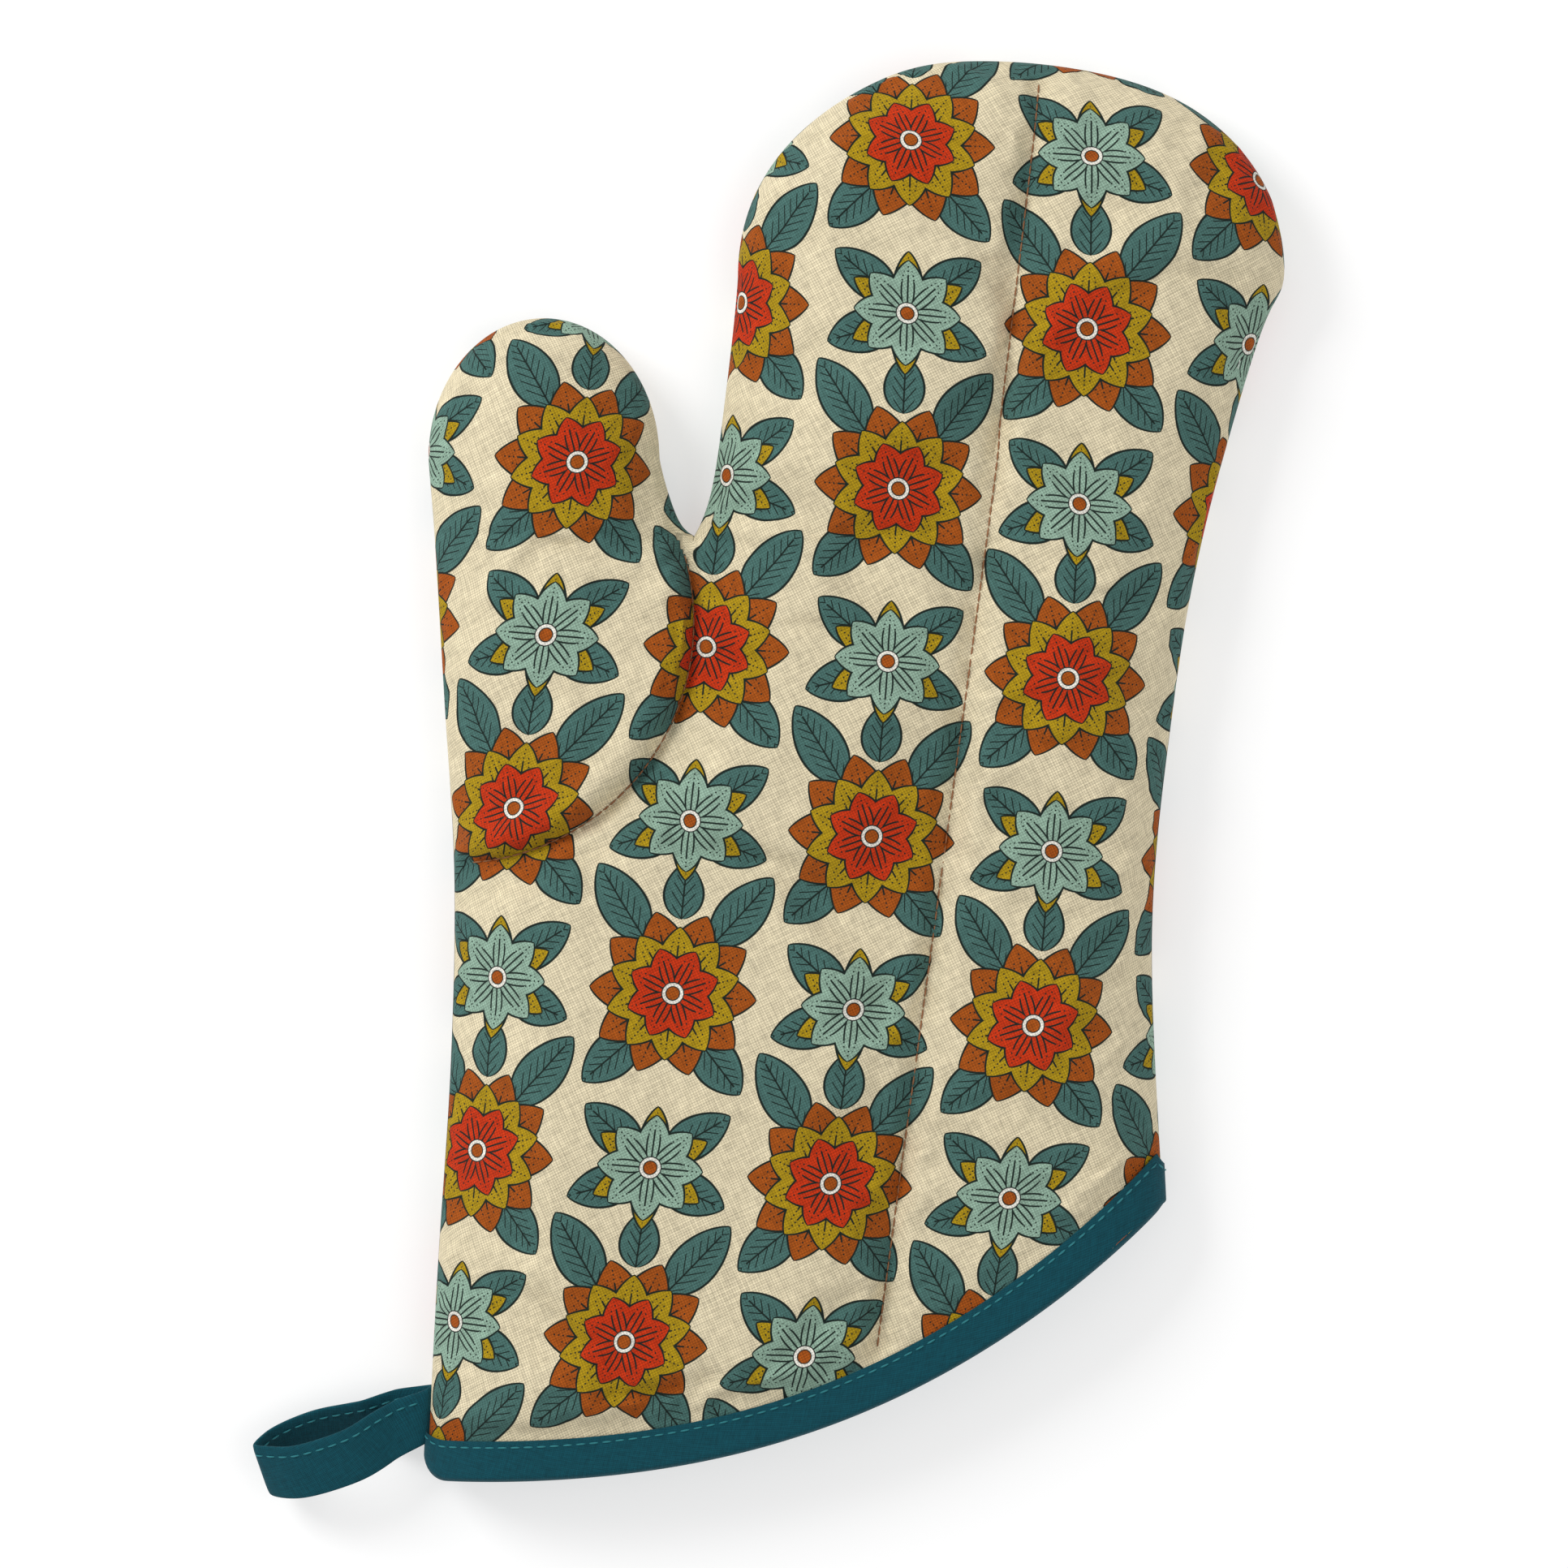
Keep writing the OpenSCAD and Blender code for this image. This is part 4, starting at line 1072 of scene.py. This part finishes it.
def strap_line(n):
    """The strap's middle line, a closed Catmull-Rom curve out from the side seam, round the end and back
    under, and the strap's width direction and outer side along it."""
    k = [(0, -0.3, SEAM_H + STRAP_T * 0.62), (0.2, -2.2, mix(SEAM_H, LOOP_HIGH, 0.6)),
         (0.42, -3.9, LOOP_HIGH), (0.75, -3.4, LOOP_HIGH - 0.6), (0.97, -0.7, mix(LOOP_LOW, LOOP_HIGH, 0.68)),
         (1, 0.9, mix(LOOP_LOW, LOOP_HIGH, 0.4)), (0.9, 2.9, LOOP_LOW + 0.6), (0.65, 3.5, LOOP_LOW),
         (0.4, 2.3, LOOP_LOW + 1), (0.18, 1, mix(SEAM_H, LOOP_LOW, 0.5)), (0, 0.3, SEAM_H - STRAP_T * 0.62)]
    share, shift, high = np.array(k).T
    p = mix(LOOP_ROOT, LOOP_TIP, share[:, None])
    knots = np.column_stack([p[:, 0], p[:, 1] + shift, high])
    line = curve(np.vstack([knots[-1], knots, knots[0], knots[1]]), n)
    under = smooth((LOOP_HIGH - 2 - line[:, 2]) / (LOOP_HIGH - LOOP_LOW - 4))[:, None]
    t = unit(np.roll(line, -1, 0) - np.roll(line, 1, 0))
    free = smooth((LOOP_ROOT[0] - line[:, 0]) / 12)[:, None]
    lean = unit(mix(np.array([-0.29, 0.93, 0.2]), np.array([-0.24, 0.80, 0.55]), under))
    line[:, 2:] += 2.0 * under * free
    w = unit(mix(np.array([0, 1.0, 0]), unit(lean - (t * lean).sum(1, keepdims=True) * t), free))
    return line, w, unit(np.cross(t, w))


def to_seam(p):
    """Points of the strap with its last 5 mm drawn out to the side seam, where it is sewn in."""
    edge = np.interp(p[..., 1], OUTLINE[:I_BASE_L, 1], OUTLINE[:I_BASE_L, 0]) - 0.15
    q = np.array(p)
    q[..., 0] += (edge - LOOP_ROOT[0] - STRAP_T / 2) * smooth((p[..., 0] - LOOP_ROOT[0] + 5) / 5)
    return q


# ---- Stage: metres and watts ----

# The table is grey and glows by TABLE_GLOW: painted light that makes it pale and thins the mitt's shadow on it.
TABLE_HALF, TABLE_GAP, TABLE_GREY, TABLE_GLOW = 4, 0.0003, (0.52, 0.52, 0.52), 0.5
SKY_STRENGTH = 0.62
SOFT_BOXES = (("Soft box left", (-1.1, 0.8, 1.0), 0.7, 17), ("Soft box right", (1.1, -0.3, 1.5), 1.4, 6))
CAMERA_HIGH, LOOK_HIGH, CAMERA_OVER, WIDE_SEEN = 1.7, 0.010, (0.0034, -0.0009), 0.3597


# ---- Operators ----

class MESH_OT_mitt_covers(bpy.types.Operator):
    """Make the printed cotton covers of the palm and the back"""
    bl_idname = "mesh.mitt_covers"
    bl_label = "Covers"

    def execute(self, context):
        size = context.scene.mitt_sizes
        for name, face, node, detail, lo, hi in (("palm_cover", PALM, "palm_panel", 12, PALM_LO, PALM_HI),
                                                 ("back_cover", BACK, "back_panel", 8, BACK_LO, BACK_HI)):
            move = swelling(size, detail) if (face == PALM) else None
            obj = ply_piece(name, face, 0, PANEL_IN, detail, size, 0, PANEL_IN, move)
            outward(obj)
            as_piece(obj, "mitt", "printed_cotton", finishes()["Printed cotton"], node)
            check_fit(obj, lo, hi, 2)
        return {"FINISHED"}


class MESH_OT_mitt_wadding(bpy.types.Operator):
    """Make the wadding of both halves"""
    bl_idname = "mesh.mitt_wadding"
    bl_label = "Wadding"

    def execute(self, context):
        size = context.scene.mitt_sizes
        for name, face, node in (("palm_wadding", PALM, "palm_batting"),
                                 ("back_wadding", BACK, "back_batting")):
            obj = outward(ply_piece(name, face, WAD_OUT, WAD_IN, 3, size, WAD_OUT, WAD_IN - 2))
            as_piece(obj, "mitt", "batting", finishes()["Wadding"], node)
        return {"FINISHED"}


class MESH_OT_mitt_linings(bpy.types.Operator):
    """Make the plain cotton linings of both halves"""
    bl_idname = "mesh.mitt_linings"
    bl_label = "Linings"

    def execute(self, context):
        size = context.scene.mitt_sizes
        for name, face, node in (("palm_lining_cloth", PALM, "palm_lining"),
                                 ("back_lining_cloth", BACK, "back_lining")):
            obj = outward(ply_piece(name, face, LINING_OUT, LINING_IN, 5, size, LINING_OUT - 2,
                                    LINING_IN - 2))
            as_piece(obj, "mitt", "lining_cotton", finishes()["Lining cotton"], node)
        return {"FINISHED"}


class MESH_OT_mitt_binding(bpy.types.Operator):
    """Make the tape that binds the cuff"""
    bl_idname = "mesh.mitt_binding"
    bl_label = "Cuff binding"

    def execute(self, context):
        profile = tape_profile()
        rings = mouth_rings(profile, 110)
        run = run_of(np.concatenate([rings[:, 6], rings[:1, 6]]))[:-1]
        obj = outward(band("cuff_tape", pulled_up(rings), on_bias(run, run_of(profile[:, :2]))))
        check_fit(obj, TAPE_LO, TAPE_HI, 3)
        as_piece(obj, "mitt", "binding_cotton", finishes()["Binding cotton"], "cuff_binding")
        return {"FINISHED"}


class MESH_OT_mitt_loop(bpy.types.Operator):
    """Make the hanging loop's folded strap"""
    bl_idname = "mesh.mitt_loop"
    bl_label = "Hanging loop"

    def execute(self, context):
        line, w, out = strap_line(18)
        t = np.linspace(0, 2 * np.pi, 33)[:-1]
        c, s = np.cos(t), np.sin(t)
        across = np.sign(c) * np.abs(c) ** 0.35 * STRAP_W / 2
        high = np.sign(s) * np.abs(s) ** 0.6 * STRAP_T / 2
        rings = to_seam(line[:, None] + across[:, None] * w[:, None] + high[:, None] * out[:, None])
        obj = outward(band("hanging_strap", rings, on_bias(run_of(line), across)))
        check_fit(obj, STRAP_LO, STRAP_HI, 4)
        as_piece(obj, "loop", "binding_cotton", finishes()["Binding cotton"], "hanging_loop")
        return {"FINISHED"}


class MESH_OT_mitt_stitches(bpy.types.Operator):
    """Make the rows of stitches, and the thread of the side seam"""
    bl_idname = "mesh.mitt_stitches"
    bl_label = "Stitches"

    def execute(self, context):
        size = context.scene.mitt_sizes
        pitch = size.stitch_pitch / MM
        made = finishes()
        for name, node, line in (("quilt_stitches", "quilt_seam", quilt_line()),
                                 ("tuck_stitches", "thumb_tuck_seam", tuck_line())):
            d, _ = nearest(line, OUTLINE)
            line = line[(d > 2.0) & (from_cuff(line) > BIND_W + 0.5) & (line[:, 1] < Y_TOP - 2)]
            path = on_cover(line, 0.13)
            obj = stitches(name, [(path, palm_up(line, size))], pitch * 0.85, pitch * 0.79, 0.4, 0.12)
            as_piece(obj, "mitt", "seam_thread", made["Seam thread"], node)
        top = -BIND_GAP - BIND_T - 0.03
        a = BIND_W - PLY_EDGE - 1.45
        share = eased(160)
        palm = cuff_points(PALM, share[::-1], a, top, top)
        back = cuff_points(BACK, share, a, top, top)
        back[[0, -1], 2] = palm[[0, -1], 2] = SEAM_H
        path = np.concatenate([back, palm[1:]])
        nudge = np.concatenate([cuff_points(BACK, share, a, top - 0.5, top - 0.5),
                                cuff_points(PALM, share[::-1], a, top - 0.5, top - 0.5)[1:]])
        rows = [(pulled_up(path), unit(nudge - path))]
        obj = stitches("binding_stitches", rows, pitch, pitch * 0.72, 0.45, 0.2)
        as_piece(obj, "mitt", "edge_thread", made["Tape thread"], "binding_topstitch")
        line, w, out = strap_line(24)
        rows = []
        for side, skip in ((1, 26), (-1, 6)):
            path = to_seam(line + w * (STRAP_W / 2 - 2.3) + side * out * (STRAP_T / 2 + 0.02))
            rows.append((path[skip:-skip], side * out[skip:-skip]))
        obj = stitches("strap_stitches", rows, pitch, pitch * 0.72, 0.45, 0.2)
        as_piece(obj, "loop", "edge_thread", made["Tape thread"], "loop_topstitch")
        line = moved_in(1.3)
        path = np.column_stack([line, np.full(len(line), SEAM_H)])
        up_way = np.tile([0.0, 0, 1], (len(line), 1))
        obj = stitches("side_seam_thread", [(pulled_up(path), up_way)], pitch * 0.85, pitch * 0.8, 0.4, 0.05)
        as_piece(obj, "mitt", "seam_thread", made["Seam thread"], "side_seam")
        return {"FINISHED"}


class SCENE_OT_mitt_stage(bpy.types.Operator):
    """Make the table, pale by a painted glow that thins the mitt's shadow on it, the soft lights and the camera
    straight above
    """
    bl_idname = "scene.mitt_stage"
    bl_label = "Stage"

    def execute(self, context):
        scene = context.scene
        mesh = bpy.data.meshes.new("table")
        corners = [(x * TABLE_HALF, y * TABLE_HALF, 0) for x, y in ((-1, -1), (1, -1), (1, 1), (-1, 1))]
        mesh.from_pydata(corners, [], [(0, 1, 2, 3)])
        table = bpy.data.objects.new("table", mesh)
        scene.collection.objects.link(table)
        table.location.z = -TABLE_GAP
        glowing_table, _, shader = new_material("Table")
        shader.inputs["Base Color"].default_value = (*TABLE_GREY, 1)
        # The table's glow is painted light: it makes the grey table pale and thins the shadow cast on it.
        shader.inputs["Emission Color"].default_value = (1, 1, 1, 1)
        shader.inputs["Emission Strength"].default_value = TABLE_GLOW
        shader.inputs["Roughness"].default_value = 0.9
        mesh.materials.append(glowing_table)
        world = bpy.data.worlds.new("Studio")
        world.use_nodes = True
        sky = world.node_tree.nodes["Background"]
        sky.inputs[0].default_value = (1, 1, 1, 1)
        sky.inputs[1].default_value = SKY_STRENGTH
        scene.world = world
        for name, spot, wide, watts in SOFT_BOXES:
            light = bpy.data.lights.new(name, "AREA")
            light.size, light.energy = wide, watts
            lamp = bpy.data.objects.new(name, light)
            scene.collection.objects.link(lamp)
            lamp.location = spot
            lamp.rotation_euler = (-Vector(spot)).to_track_quat("-Z", "Y").to_euler()
        data = bpy.data.cameras.new("Above")
        camera = bpy.data.objects.new("Above", data)
        scene.collection.objects.link(camera)
        data.lens = data.sensor_width * CAMERA_HIGH / WIDE_SEEN
        camera.location = (*CAMERA_OVER, LOOK_HIGH + CAMERA_HIGH)
        data.clip_end = 20
        scene.camera = camera
        scene.view_settings.view_transform = "Standard"
        return {"FINISHED"}


class VIEW3D_PT_mitt(bpy.types.Panel):
    """Lists the mitt's sizes, colours and pieces"""
    bl_label = "Oven Mitt"
    bl_idname = "VIEW3D_PT_mitt"
    bl_space_type = "VIEW_3D"
    bl_region_type = "UI"
    bl_category = "Oven Mitt"

    def draw(self, context):
        for group in (context.scene.mitt_sizes, context.scene.mitt_colours):
            column = self.layout.column(align=True)
            for key in group.bl_rna.properties.keys():
                if key not in ("rna_type", "name"):
                    column.prop(group, key)
        for made in OPERATORS:
            self.layout.operator(made.bl_idname)


OPERATORS = (MESH_OT_mitt_covers, MESH_OT_mitt_wadding, MESH_OT_mitt_linings, MESH_OT_mitt_binding,
             MESH_OT_mitt_loop, MESH_OT_mitt_stitches, SCENE_OT_mitt_stage)
CLASSES = (MittSizes, MittColours) + OPERATORS + (VIEW3D_PT_mitt,)


def register():
    for made in CLASSES:
        bpy.utils.register_class(made)
    bpy.types.Scene.mitt_sizes = PointerProperty(type=MittSizes)
    bpy.types.Scene.mitt_colours = PointerProperty(type=MittColours)


def unregister():
    del bpy.types.Scene.mitt_sizes
    del bpy.types.Scene.mitt_colours
    for made in reversed(CLASSES):
        bpy.utils.unregister_class(made)


def main():
    register()
    bpy.ops.mesh.mitt_covers()
    bpy.ops.mesh.mitt_wadding()
    bpy.ops.mesh.mitt_linings()
    bpy.ops.mesh.mitt_binding()
    bpy.ops.mesh.mitt_loop()
    bpy.ops.mesh.mitt_stitches()
    bpy.ops.scene.mitt_stage()


if __name__ == "__main__":
    main()
